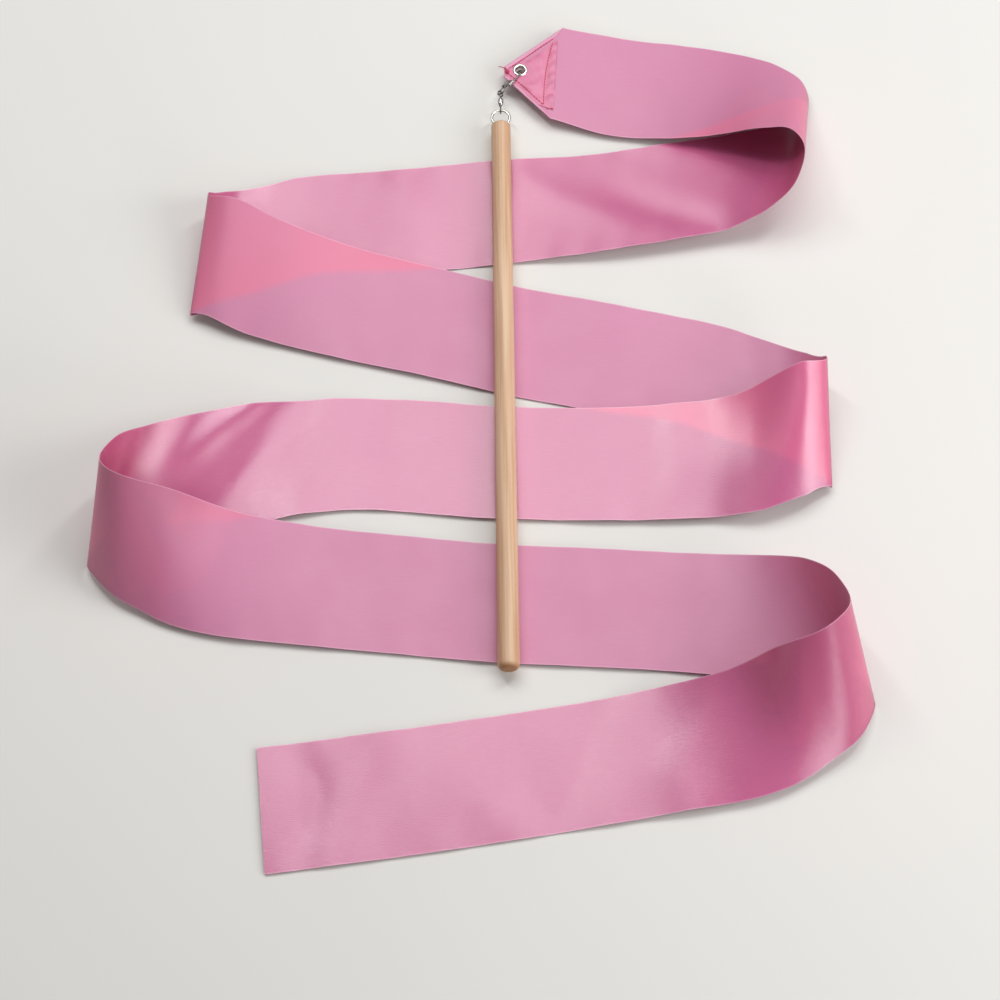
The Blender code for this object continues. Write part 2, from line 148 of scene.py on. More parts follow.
# Soft creases across the strip: how far along it in mm, how much further for each half width
# towards the far edge, the crease's half width in mm, and its height in mm, up or down.
CREASES = [
    (275, 34, 16, 1.0),
    (236, 38, 17, -1.0),
    (200, 30, 16, 1.2),
    (353, 6, 12, 0.9),
    (325, -6, 12, -0.8),
    (388, 8, 16, 0.6),
    (420, 14, 11, -1.0),
    (441, 18, 10, 1.0),
    (1118, -34, 15, 2.0),
    (1078, -18, 15, -1.6),
    (1046, -6, 12, 1.3),
    (1012, 2, 12, -0.5),
    (818, -8, 20, 5.0),
    (856, 2, 12, -0.9),
    (876, -4, 10, 1.2),
    (905, -12, 14, 0.6),
    (940, 16, 15, -0.6),
    (975, 14, 15, 0.5),
    (1573, -4, 12, 1.6),
    (1610, -6, 20, -2.2),
    (1644, -5, 11, 1.3),
    (1672, -14, 14, 0.5),
    (1701, -18, 13, -0.8),
    (1745, 12, 16, 0.6),
    (1802, -10, 10, 1.1),
    (1826, -4, 10, -1.1),
    (560, 10, 25, 0.3),
    (690, -12, 30, 0.3),
    (1330, 8, 30, -0.3),
    (1400, 6, 35, 0.3),
]

# The folded end, in mm from the eyelet: towards the point, then towards the far edge
POINT_FAR = (8.5, 1.6)
POINT_NEAR = (8.2, -4.6)
SHOULDER_FAR = (-20.5, 28.6)
SHOULDER_NEAR = (-17.2, -27.8)
FLAP_FAR = [(6.2, 0.4), (-4.0, 7.4), (-11.0, 13.4), (-18.0, 20.4)]
FLAP_NEAR = [(6.4, -4.2), (-3.0, -13.0), (-11.0, -20.2), (-18.6, -22.8)]
BASE_SEAM = [(-15.7, 19.0), (-14.2, 9.0), (-13.3, 0.0), (-13.2, -10.0), (-13.6, -20.0)]
NEAR_SEAM = [(6.4, -2.2), (-3.0, -10.6), (-13.4, -20.2)]
FAR_SEAM = [(6.0, 0.8), (-4.6, 10.6), (-15.9, 21.4)]
TACK_SEAM = [(-15.0, -22.4), (-19.0, -22.0)]
END_REACH = 60 * MM  # the folded end lies to the left of this x
END_BLEND = 30 * MM  # over this length the folded end runs into the strip
END_ROWS = 30  # mesh lines along the folded end
PRESSED_REACH = 14 * MM  # how far from its axis the stick presses the cloth flat
HOLE_RADIUS = 2.5 * MM  # of the hole for the eyelet


def linear(code):
    """An sRGB colour such as "E8C4A0" as linear red, green and blue."""
    parts = [int(code[i : i + 2], 16) / 255 for i in (0, 2, 4)]
    return [p / 12.92 if p <= 0.04045 else ((p + 0.055) / 1.055) ** 2.4 for p in parts]


def rgba(colour):
    return (*colour[:3], 1.0)


def add_node(tree, kind, values=None, links=None, **settings):
    """Adds a node, sets its properties and input values, and links other nodes' outputs to it."""
    made = tree.nodes.new(f"ShaderNode{kind}")
    for name, value in settings.items():
        setattr(made, name, value)
    for name, value in (values or {}).items():
        made.inputs[name].default_value = value
    for name, output in (links or {}).items():
        tree.links.new(output, made.inputs[name])
    return made


def set_ramp(ramp, stops):
    """Gives a colour ramp its stops, as (place, linear colour)."""
    elements = ramp.color_ramp.elements
    while len(elements) > 1:
        elements.remove(elements[-1])
    for i, (place, colour) in enumerate(stops):
        element = elements[0] if i == 0 else elements.new(place)
        element.position = place
        element.color = rgba(colour)
    return ramp


def new_material(name, **inputs):
    """A Principled material with its inputs set, its node tree and its shader."""
    made = bpy.data.materials.new(name)
    made.use_nodes = True
    tree = made.node_tree
    shader = tree.nodes["Principled BSDF"]
    for label, value in inputs.items():
        shader.inputs[label.replace("_", " ")].default_value = value
    return made, tree, shader


def new_mesh_object(name, points, faces, finishes, uvs=None):
    mesh = bpy.data.meshes.new(name)
    mesh.from_pydata([tuple(p) for p in points], [], [tuple(f) for f in faces])
    mesh.update()
    if uvs is not None:
        layer = mesh.uv_layers.new(name="strip")
        corner = np.zeros(len(mesh.loops), np.int32)
        mesh.loops.foreach_get("vertex_index", corner)
        layer.data.foreach_set("uv", np.asarray(uvs, np.float32)[corner].ravel())
    made = bpy.data.objects.new(name, mesh)
    bpy.context.scene.collection.objects.link(made)
    for finish in finishes:
        mesh.materials.append(finish)
    mesh.shade_smooth()
    return made


def grid_faces(rows, columns):
    """Quads over a grid of points that is stored row by row."""
    return [
        (i * columns + j, (i + 1) * columns + j, (i + 1) * columns + j + 1, i * columns + j + 1)
        for i in range(rows - 1)
        for j in range(columns - 1)
    ]


def lathe(name, profile, finish, steps=64, sharp=45):
    """A solid turned about its own Z axis. The profile is (radius, z), top to bottom outside."""
    closed = profile[0][0] > 0
    count = len(profile)
    edges = [(i, i + 1) for i in range(count - 1)] + ([(count - 1, 0)] if closed else [])
    mesh = bpy.data.meshes.new(name)
    mesh.from_pydata([(r, 0, z) for r, z in profile], edges, [])
    made = bpy.data.objects.new(name, mesh)
    bpy.context.scene.collection.objects.link(made)
    screw = made.modifiers.new("Screw", "SCREW")
    screw.steps = steps
    screw.render_steps = steps
    screw.use_merge_vertices = True
    screw.merge_threshold = 0.00001
    bake(made)
    made.data.shade_smooth()
    made.data.set_sharp_from_angle(angle=math.radians(sharp))
    made.data.materials.append(finish)
    return made


def bake(obj):
    """Applies the object's modifiers to its mesh."""
    graph = bpy.context.evaluated_depsgraph_get()
    mesh = bpy.data.meshes.new_from_object(obj.evaluated_get(graph))
    obj.modifiers.clear()
    obj.data = mesh


def place(obj, location, turn=None):
    """Moves and turns the object's own mesh, so that its axes become the frame's."""
    rows = (turn or Matrix.Identity(3)).to_4x4()
    obj.data.transform(Matrix.Translation(location) @ rows)
    return obj


def axes(x, y, z):
    """The turn that takes the own axes to these three."""
    return Matrix((x, y, z)).transposed()


ALONG_Y = axes(Vector((1, 0, 0)), Vector((0, 0, -1)), Vector((0, 1, 0)))
ALONG_SWIVEL = axes(SWIVEL_RIGHT, Vector((0, 0, -1)), SWIVEL_ALONG)
AGAINST_SWIVEL = axes(SWIVEL_RIGHT, Vector((0, 0, 1)), -SWIVEL_ALONG)


def tube(name, route, radius, finish, sides=12, closed=False):
    """A round wire along points, with rounded ends where it is open."""
    curve = bpy.data.curves.new(name, "CURVE")
    curve.dimensions = "3D"
    curve.bevel_depth = radius
    curve.bevel_resolution = sides // 4
    curve.use_fill_caps = not closed
    spline = curve.splines.new("POLY")
    spline.points.add(len(route) - 1)
    for point, at in zip(spline.points, route):
        point.co = (*at, 1)
    spline.use_cyclic_u = closed
    if not closed:
        ends = spline.points
        ends[0].radius = ends[-1].radius = 0.55
    made = bpy.data.objects.new(name, curve)
    bpy.context.scene.collection.objects.link(made)
    graph = bpy.context.evaluated_depsgraph_get()
    mesh = bpy.data.meshes.new_from_object(made.evaluated_get(graph))
    bpy.data.objects.remove(made)
    bpy.data.curves.remove(curve)
    solid = bpy.data.objects.new(name, mesh)
    bpy.context.scene.collection.objects.link(solid)
    mesh.materials.clear()
    mesh.materials.append(finish)
    mesh.shade_smooth()
    return solid


def join(name, parts):
    """Joins meshes into the first of them and names it."""
    first = parts[0]
    with bpy.context.temp_override(
        active_object=first, selected_editable_objects=parts, selected_objects=parts
    ):
        bpy.ops.object.join()
    first.name = name
    return first


def arc_points(centre, radius, start, end, count):
    """Points (x, y) on an arc between two angles in degrees."""
    for angle in np.radians(np.linspace(start, end, count)):
        yield (centre[0] + radius * math.cos(angle), centre[1] + radius * math.sin(angle))


def settle(obj, body, slot, *nodes):
    """Ties a finished piece to its body and hides the CAD nodes that it stands for. The slot is not
    used.
    """
    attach(obj, body)
    if nodes:
        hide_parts(*nodes)
    return obj


# ---------------------------------------------------------------- settings


class StickSettings(bpy.types.PropertyGroup):
    tip_diameter: FloatProperty(
        name="Tip diameter", description="Thickness at the ring", default=9.8 * MM, unit="LENGTH"
    )
    butt_diameter: FloatProperty(
        name="Butt diameter", description="Thickness at the grip", default=10.6 * MM, unit="LENGTH"
    )
    butt_flat: FloatProperty(
        name="Butt flat", description="Width of the flat end", default=4.8 * MM, unit="LENGTH"
    )
    butt_rounding: FloatProperty(
        name="Butt rounding", description="Length of round end", default=3.6 * MM, unit="LENGTH"
    )
    wood: FloatVectorProperty(
        name="Wood", description="Early wood", default=linear("DFBE9E"), subtype="COLOR"
    )
    wood_dark: FloatVectorProperty(
        name="Grain", description="Late wood", default=linear("C89C78"), subtype="COLOR"
    )
    end_grain: FloatVectorProperty(
        name="End grain", description="Sanded ends", default=linear("AA7A50"), subtype="COLOR"
    )


class MetalSettings(bpy.types.PropertyGroup):
    ring_diameter: FloatProperty(
        name="Ring", description="To the middle of the wire", default=9.1 * MM, unit="LENGTH"
    )
    ring_wire: FloatProperty(
        name="Ring wire", description="Wire of the screw eye", default=1.4 * MM, unit="LENGTH"
    )
    thin_wire: FloatProperty(
        name="Thin wire", description="Wire of snap and swivel", default=0.8 * MM, unit="LENGTH"
    )
    eye_diameter: FloatProperty(
        name="Swivel eye", description="To the middle of the wire", default=3 * MM, unit="LENGTH"
    )
    barrel_length: FloatProperty(
        name="Barrel length", description="Length of the barrel", default=4.4 * MM, unit="LENGTH"
    )
    barrel_diameter: FloatProperty(
        name="Barrel", description="Width of the barrel", default=3 * MM, unit="LENGTH"
    )
    bright: FloatVectorProperty(
        name="Nickel", description="Polished plating", default=linear("D6D4CF"), subtype="COLOR"
    )
    dark: FloatVectorProperty(
        name="Black nickel", description="Dark plating", default=linear("77736E"), subtype="COLOR"
    )


class RibbonSettings(bpy.types.PropertyGroup):
    width: FloatProperty(
        name="Width", description="Width of the strip", default=60.5 * MM, unit="LENGTH"
    )
    thickness: FloatProperty(
        name="Thickness", description="Thickness of the cloth", default=0.24 * MM, unit="LENGTH"
    )
    cell: FloatProperty(
        name="Mesh cell", description="Spacing of the mesh lines", default=2.0 * MM, unit="LENGTH"
    )
    satin: FloatVectorProperty(
        name="Satin face", description="Shiny side", default=linear("C8608F"), subtype="COLOR"
    )
    back: FloatVectorProperty(
        name="Matte face", description="Dull side", default=linear("CC709C"), subtype="COLOR"
    )
    # Painted shade: a darker, more saturated pink painted where the cloth turns steeply away and in
    # the pleat at the folded end
    painted_shade_pink: FloatVectorProperty(
        name="Painted shade", description="Colour where the cloth turns away", default=linear("A82C60"),
        subtype="COLOR",
    )
    # Painted light: a lighter, warmer pink painted where the cloth lies over a second layer, for
    # light coming back through it from the layer below
    painted_show_through: FloatVectorProperty(
        name="Doubled", description="Cloth over a second layer", default=linear("E4648F"),
        subtype="COLOR",
    )
    # Lighter edge pink: partly the denser woven edge, partly painted rim light
    selvedge_and_rim_light: FloatVectorProperty(
        name="Selvedge", description="Woven edge", default=linear("E8A4C2"), subtype="COLOR"
    )
    thread: FloatVectorProperty(
        name="Thread", description="Sewing thread", default=linear("DA3058"), subtype="COLOR"
    )
    stitch: FloatProperty(
        name="Stitch", description="Length of one stitch", default=1.9 * MM, unit="LENGTH"
    )


class StageSettings(bpy.types.PropertyGroup):
    floor: FloatVectorProperty(
        name="Floor", description="Pale floor", default=linear("E9E7E3"), subtype="COLOR"
    )
    tilt: FloatProperty(
        name="Camera tilt", description="From straight down", default=math.radians(25),
        subtype="ANGLE",
    )
    heading: FloatProperty(
        name="Camera heading", description="Clockwise, seen from above",
        default=math.radians(0.7), subtype="ANGLE",
    )
    distance: FloatProperty(
        name="Camera distance", description="To the middle of the view", default=1.23475,
        unit="LENGTH",
    )
    lens: FloatProperty(
        name="Lens", description="Focal length in millimetres", default=92.75, min=10
    )
    top_power: FloatProperty(name="Top light", description="Power, in watts", default=7.6)
    side_power: FloatProperty(name="Side light", description="Power, in watts", default=6)
    low_power: FloatProperty(name="Low light", description="Power, in watts", default=2.5)
    fill: FloatProperty(name="Fill light", description="Strength of the room", default=0.24)
    strip_power: FloatProperty(name="Strip lights", description="Power, in watts", default=3.4)


class WandSettings(bpy.types.PropertyGroup):
    stick: PointerProperty(type=StickSettings)
    metal: PointerProperty(type=MetalSettings)
    ribbon: PointerProperty(type=RibbonSettings)
    stage: PointerProperty(type=StageSettings)


# --------------------------------------------------------------- materials


def beech_turned_and_sanded(chosen):
    """Beech, turned and sanded without varnish: pale, nearly matte, fine straight lines along the
    stick with short darker ray flecks, and browner where the ends show the cut grain."""
    made, tree, shader = new_material("beech_turned_and_sanded", Roughness=0.5, IOR=1.5)
    spot = add_node(tree, "TexCoord")
    # Growth lines about 0.7 mm apart that run nearly the whole length
    stretched = add_node(
        tree, "Mapping", {"Scale": (900, 14, 900)}, {"Vector": spot.outputs["Object"]}
    )
    lines = add_node(
        tree,
        "TexNoise",
        {"Scale": 1.0, "Detail": 4.0, "Roughness": 0.55},
        {"Vector": stretched.outputs[0]},
    )
    broad_map = add_node(
        tree, "Mapping", {"Scale": (240, 9, 240)}, {"Vector": spot.outputs["Object"]}
    )
    broad = add_node(
        tree, "TexNoise", {"Scale": 1.0, "Detail": 2.0}, {"Vector": broad_map.outputs[0]}
    )
    both = add_node(
        tree, "Math", links={0: lines.outputs["Fac"], 1: broad.outputs["Fac"]}, operation="ADD"
    )
    halved = add_node(tree, "Math", {1: 0.5}, {0: both.outputs[0]}, operation="MULTIPLY")
    grain = set_ramp(
        add_node(tree, "ValToRGB", links={"Fac": halved.outputs[0]}),
        [(0.40, chosen.wood_dark), (0.62, chosen.wood), (0.78, chosen.wood)],
    )
    # Ray flecks, 0.3 mm wide and 2 to 3 mm long
    fleck_map = add_node(
        tree, "Mapping", {"Scale": (1500, 300, 1500)}, {"Vector": spot.outputs["Object"]}
    )
    flecks = add_node(tree, "TexVoronoi", {"Scale": 1.0}, {"Vector": fleck_map.outputs[0]})
    fleck_tone = set_ramp(
        add_node(tree, "ValToRGB", links={"Fac": flecks.outputs["Distance"]}),
        [(0.05, linear("E4D6C8")), (0.22, (1, 1, 1))],
    )
    flecked = add_node(
        tree,
        "Mix",
        {"Factor": 0.55},
        {6: grain.outputs[0], 7: fleck_tone.outputs[0]},
        data_type="RGBA",
        blend_type="MULTIPLY",
    )
    facing = add_node(tree, "SeparateXYZ", links={0: spot.outputs["Normal"]})
    end_on = add_node(tree, "Math", links={0: facing.outputs["Y"]}, operation="ABSOLUTE")
    cut = set_ramp(
        add_node(tree, "ValToRGB", links={"Fac": end_on.outputs[0]}),
        [(0.18, (0, 0, 0)), (0.75, (1, 1, 1))],
    )
    ended = add_node(
        tree,
        "Mix",
        {7: rgba(chosen.end_grain)},
        {"Factor": cut.outputs[0], 6: flecked.outputs[2]},
        data_type="RGBA",
    )
    tree.links.new(ended.outputs[2], shader.inputs["Base Color"])
    bump = add_node(
        tree, "Bump", {"Strength": 0.25, "Distance": 0.00006}, {"Height": lines.outputs["Fac"]}
    )
    tree.links.new(bump.outputs[0], shader.inputs["Normal"])
    return made


def nickel_plated(name, colour, roughness, wear):
    """Nickel over wire or sheet: mirror-like with faint draw marks and slightly duller patches."""
    made, tree, shader = new_material(
        name, Base_Color=rgba(colour), Metallic=1.0, Roughness=roughness
    )
    spot = add_node(tree, "TexCoord")
    patches = add_node(
        tree, "TexNoise", {"Scale": 1400.0, "Detail": 3.0}, {"Vector": spot.outputs["Object"]}
    )
    dull = add_node(
        tree,
        "MapRange",
        {"To Min": roughness * 0.8, "To Max": roughness + wear},
        {"Value": patches.outputs["Fac"]},
    )
    tree.links.new(dull.outputs[0], shader.inputs["Roughness"])
    bump = add_node(
        tree, "Bump", {"Strength": 0.12, "Distance": 0.00002}, {"Height": patches.outputs["Fac"]}
    )
    tree.links.new(bump.outputs[0], shader.inputs["Normal"])
    return made


def polyester_satin(name, chosen, shiny):
    """Polyester satin ribbon, woven with long floats on one face: that face has a broad silky
    gleam with a fine sparkle, the other is dull. A darker, more saturated pink is painted as
    painted shade where the cloth turns steeply away and in the pleat at the folded end. A lighter,
    warmer pink is painted as painted light coming through where the cloth lies over a second layer.
    The lighter edge pink is partly the woven edge and partly painted rim light."""
    face = chosen.satin if shiny else chosen.back
    made, tree, shader = new_material(
        name,
        IOR=1.62,
        Anisotropic=0.45 if shiny else 0.0,
        Specular_IOR_Level=0.8 if shiny else 1.0,
        Coat_Weight=0.12 if shiny else 0.5,
        Coat_IOR=1.62,
        Coat_Roughness=0.5 if shiny else 0.7,
        Sheen_Weight=0.15 if shiny else 0.25,
        Sheen_Roughness=0.4,
        Sheen_Tint=rgba(linear("FFE4EE")),
    )
    strip = add_node(tree, "UVMap", uv_map="strip")
    # Yarns along the strip, 0.35 mm apart: coarser than real ones so that they show
    yarn_map = add_node(tree, "Mapping", {"Scale": (150, 2900, 1)}, {"Vector": strip.outputs[0]})
    yarns = add_node(
        tree, "TexNoise", {"Scale": 1.0, "Detail": 2.0}, {"Vector": yarn_map.outputs[0]}
    )
    # Sparkle of the crossing floats, 0.5 mm apart, also drawn coarser
    sparkle = add_node(
        tree,
        "TexNoise",
        {"Scale": 2000.0, "Detail": 2.0, "Roughness": 0.7},
        {"Vector": strip.outputs[0]},
    )
    cloud = add_node(
        tree,
        "TexNoise",
        {"Scale": 45.0, "Detail": 3.0, "Roughness": 0.5},
        {"Vector": strip.outputs[0]},
    )
    weave = add_node(
        tree, "Math", links={0: yarns.outputs["Fac"], 1: sparkle.outputs["Fac"]}, operation="ADD"
    )
    average = add_node(tree, "Math", {1: 0.5}, {0: weave.outputs[0]}, operation="MULTIPLY")
    tone = set_ramp(
        add_node(tree, "ValToRGB", links={"Fac": average.outputs[0]}),
        [(0.38, [c * 0.955 for c in face]), (0.62, [min(1, c * 1.04) for c in face])],
    )
    # Painted shade: mixes in the darker pink by the cloth's steepness and by the painted shadow of
    # the pleat
    steep_at = add_node(tree, "Attribute", attribute_name="painted_shade_mask")
    painted_shade_mask = add_node(
        tree,
        "MapRange",
        {"From Min": 0.06, "From Max": 0.7, "To Max": 0.75},
        {"Value": steep_at.outputs["Fac"]},
        interpolation_type="SMOOTHSTEP",
    )
    painted_shade_mix = add_node(
        tree,
        "Mix",
        {7: rgba(chosen.painted_shade_pink)},
        {"Factor": painted_shade_mask.outputs[0], 6: tone.outputs[0]},
        data_type="RGBA",
    )
    # Painted light: mixes in the lighter, warmer pink where another layer lies below
    show_through_mask = add_node(tree, "Attribute", attribute_name="show_through_mask")
    painted_show_through = add_node(
        tree,
        "Mix",
        {7: rgba(chosen.painted_show_through)},
        {"Factor": show_through_mask.outputs["Fac"], 6: painted_shade_mix.outputs[2]},
        data_type="RGBA",
    )
    # The woven edge, 0.5 mm wide, is denser; its lighter pink is partly its own and partly painted
    # rim light
    edge_at = add_node(tree, "Attribute", attribute_name="edge")
    edge = add_node(
        tree,
        "MapRange",
        {"From Min": 0.70, "From Max": 0.95, "To Max": 0.6},
        {"Value": edge_at.outputs["Fac"]},
    )
    edged = add_node(
        tree,
        "Mix",
        {7: rgba(chosen.selvedge_and_rim_light)},
        {"Factor": edge.outputs[0], 6: painted_show_through.outputs[2]},
        data_type="RGBA",
    )
    tree.links.new(edged.outputs[2], shader.inputs["Base Color"])
    lowest = 0.23 if shiny else 0.55
    gloss = add_node(
        tree,
        "MapRange",
        {"From Min": 0.35, "From Max": 0.65, "To Min": lowest, "To Max": lowest + 0.04},
        {"Value": cloud.outputs["Fac"]},
    )
    tree.links.new(gloss.outputs[0], shader.inputs["Roughness"])
    fine = add_node(
        tree,
        "Bump",
        {"Strength": 0.5, "Distance": 0.00009 if shiny else 0.00004},
        {"Height": weave.outputs[0]},
    )
    rumple = add_node(
        tree,
        "Bump",
        {"Strength": 0.08, "Distance": 0.0008},
        {"Height": cloud.outputs["Fac"], "Normal": fine.outputs[0]},
    )
    tree.links.new(rumple.outputs[0], shader.inputs["Normal"])
    lie = add_node(tree, "Tangent", direction_type="UV_MAP", uv_map="strip")
    tree.links.new(lie.outputs[0], shader.inputs["Tangent"])
    return made


def polyester_thread(chosen):
    """Twisted polyester sewing thread: a soft shine and a fine diagonal ply."""
    made, tree, shader = new_material(
        "polyester_sewing_thread", Roughness=0.5, Sheen_Weight=0.3, IOR=1.55
    )
    spot = add_node(tree, "TexCoord")
    ply = add_node(
        tree,
        "TexWave",
        {"Scale": 900.0, "Distortion": 2.0, "Detail": 1.0},
        {"Vector": spot.outputs["Object"]},
        bands_direction="DIAGONAL",
    )
    tone = set_ramp(
        add_node(tree, "ValToRGB", links={"Fac": ply.outputs["Fac"]}),
        [(0.2, [c * 0.75 for c in chosen.thread]), (0.8, chosen.thread)],
    )
    tree.links.new(tone.outputs[0], shader.inputs["Base Color"])
    return made


# ------------------------------------------------------------------ ribbon


def cross_line(yaw, tilt):
    """Unit vector from the ribbon's near edge to its far edge."""
    yaw, tilt = math.radians(yaw), math.radians(tilt)
    return (-math.sin(yaw) * math.cos(tilt), math.cos(yaw) * math.cos(tilt), math.sin(tilt))


def through(knots, values, at):
    """Smooth curve through values at their knots, as a cubic with the slope of its neighbours."""
    slopes = np.gradient(values, knots, axis=0)
    low = np.clip(np.searchsorted(knots, at, side="right") - 1, 0, len(knots) - 2)
    step = (knots[low + 1] - knots[low])[:, None]
    t = (at - knots[low])[:, None] / step
    start = (1 + 2 * t) * (1 - t) ** 2 * values[low] + t * (1 - t) ** 2 * step * slopes[low]
    end = t**2 * (3 - 2 * t) * values[low + 1] + t**2 * (t - 1) * step * slopes[low + 1]
    return start + end


def softened(values, passes):
    """Evens out a row of vectors, with both ends kept."""
    values = values.copy()
    for _ in range(passes):
        values[1:-1] = (values[:-2] + 2 * values[1:-1] + values[2:]) / 4
    return values


def head_axes():
    """Unit vectors towards the folded point and towards the far edge, in the ribbon's plane."""
    base = Vector(STATIONS[0][:3]) * MM
    forward = EYELET - base
    forward.z = 0
    forward.normalize()
    return forward, Vector((forward.y, -forward.x, 0))


def head_point(spot, height=0.0):
    """A place on the folded end as a point: spot in mm from the eyelet, height in metres."""
    forward, side = head_axes()
    return EYELET + forward * spot[0] * MM + side * spot[1] * MM + Vector((0, 0, height))


def strip_grid(chosen):
    """The strip's points row by row from the folded point to the cut end, with their places along
    and across it."""
    rows = np.array(STATIONS, float)
    centres = rows[:, :3] * MM
    centres[0, 2] = EYELET.z
    lines = np.array([cross_line(yaw, tilt) for yaw, tilt in rows[:, 3:]])
    steps = np.linalg.norm(np.diff(centres, axis=0), axis=1)
    knots = np.concatenate([[0], np.cumsum(steps)])
    at = np.linspace(0, knots[-1], round(knots[-1] / chosen.cell) + 1)
    middle = softened(through(knots, centres, at), 2)
    line = softened(through(knots, lines, at), 3)
    line /= np.linalg.norm(line, axis=1)[:, None]
    tangent = np.gradient(middle, at, axis=0)
    tangent /= np.linalg.norm(tangent, axis=1)[:, None]
    slant = np.maximum(np.linalg.norm(np.cross(tangent, line), axis=1), 0.94)
    half = line * (chosen.width / 2 / slant)[:, None]
    count = round(chosen.width / chosen.cell * 0.7) * 2 + 1
    across = np.linspace(-1, 1, count)
    grid = middle[:, None] + half[:, None] * across[None, :, None]
    normal = np.cross(tangent, line)
    up = normal * normal[:, 2:]
    grid += up[:, None] * crease_height(at, across, grid)[:, :, None]
    # The folded point before the strip
    near = np.array([head_point(SHOULDER_NEAR), head_point(POINT_NEAR)])
    far = np.array([head_point(SHOULDER_FAR), head_point(POINT_FAR)])
    blend = eased(at, 0, END_BLEND)[:, None]
    first_near, first_far = grid[0, 0].copy(), grid[0, -1].copy()
    shift_near = (near[0] - first_near) * (1 - blend)
    shift_far = (far[0] - first_far) * (1 - blend)
    share = (across + 1) / 2
    grid += shift_near[:, None] * (1 - share)[None, :, None]
    grid += shift_far[:, None] * share[None, :, None]
    head = []
    for t in np.arange(END_ROWS) / END_ROWS:
        a = near[1] + (near[0] - near[1]) * t
        b = far[1] + (far[0] - far[1]) * t
        head.append(a + (b - a) * share[:, None])
    head = np.array(head)
    grid = np.vstack([head, grid])
    point_length = abs(SHOULDER_FAR[0] - POINT_FAR[0]) * MM
    along = np.concatenate([np.linspace(-point_length, 0, END_ROWS, endpoint=False), at])
    width = np.linalg.norm(grid[:, -1] - grid[:, 0], axis=1)
    return grid, along, across, width


def eased(value, start, end):
    """0 at the start, 1 at the end and smooth between them. The start may be the higher."""
    t = np.clip((value - start) / (end - start), 0, 1)
    return t * t * (3 - 2 * t)


def crease_height(at, across, grid):
    """Height of the soft creases and of the cloth's slow waves over the strip, in metres."""
    s = at[:, None] / MM
    v = across[None, :]
    height = np.zeros((len(at), len(across)))
    for i, (along, slant, width, rise) in enumerate(CREASES):
        # Each crease bends a little and fades towards one edge
        bend = 4 * np.sin(2.6 * v + 1.7 * i)
        fade = 0.62 + 0.38 * np.sin(1.9 * v + 2.3 * i)
        height += rise * fade * np.exp(-(((s - along - slant * v - bend) / width) ** 2))
    height += 0.22 * np.sin(2 * np.pi * (s / 83 + 0.16 * v + 0.1)) * (0.6 + 0.4 * v)
    height += 0.16 * np.sin(2 * np.pi * (s / 37 - 0.23 * v + 0.4)) * (0.5 - 0.5 * v)
    height += 0.10 * np.sin(2 * np.pi * (s / 19 + 0.35 * v)) * np.abs(v) ** 2
    # The stick presses the cloth flat where it lies on it
    free = eased(np.abs(grid[:, :, 0] - STICK_X), 0, PRESSED_REACH)
    under = (grid[:, :, 1] < TIP_Y) & (grid[:, :, 1] > BUTT_Y)
    start = eased(at, 5 * MM, 5 * MM + END_BLEND)[:, None]
    return np.where(under, free, 1.0) * height * start * MM


def layers_below(points, faces):
    """How much of the ribbon round each point lies over another layer, less the deeper it is: where
    the painted light from the layer below goes.
    """
    tree = BVHTree.FromPolygons([Vector(p) for p in points], faces)
    reach = 30 * MM
    down = Vector((0, 0, -1))
    spread = 1.2 * MM
    offsets = [Vector((x * spread, y * spread, -0.8 * MM)) for x in (-1, 0, 1) for y in (-1, 0, 1)]
    show_through_mask = np.zeros(len(points))
    for i, p in enumerate(points):
        for offset in offsets:
            hit = tree.ray_cast(Vector(p) + offset, down, reach)[3]
            if hit is not None:
                show_through_mask[i] += (1 - 0.8 * hit / reach) / len(offsets)
    return show_through_mask


def painted_pleat_shadow(grid):
    """1 in the narrow pleat between the far hem and the flap, where the cloth is folded far in: the
    mask for the painted shadow in the pleat.
    """
    forward, side = head_axes()
    away = (grid - np.array(EYELET)) / MM
    p, q = away @ np.array(forward), away @ np.array(side)
    start, end = np.array(POINT_FAR), np.array(SHOULDER_FAR)
    length = np.linalg.norm(end - start)
    along = (end - start) / length
    share = ((p - start[0]) * along[0] + (q - start[1]) * along[1]) / length
    depth = -((q - start[1]) * along[0] - (p - start[0]) * along[1])
    inside = eased(depth, -1, 0) * eased(depth, 5, 4.2)
    ends = eased(share, 0.15, 0.35) * eased(share, 1.02, 0.9)
    return inside * ends * (grid[:, :, 0] < END_REACH)


def steepness(grid):
    """0 where the strip lies flat, 1 where it stands upright."""
    normal = np.cross(np.gradient(grid, axis=0), np.gradient(grid, axis=1))
    normal /= np.linalg.norm(normal, axis=2)[:, :, None]
    return 1 - np.abs(normal[:, :, 2])


def add_values(mesh, name, values):
    attribute = mesh.attributes.new(name, "FLOAT", "POINT")
    attribute.data.foreach_set("value", np.asarray(values, np.float32))


def give_thickness(obj, thickness, back=0):
    """Thickens a sheet evenly both ways. The back takes the finish that many slots further on."""
    solid = obj.modifiers.new("Thickness", "SOLIDIFY")
    solid.thickness = thickness
    solid.offset = 0
    solid.material_offset = back


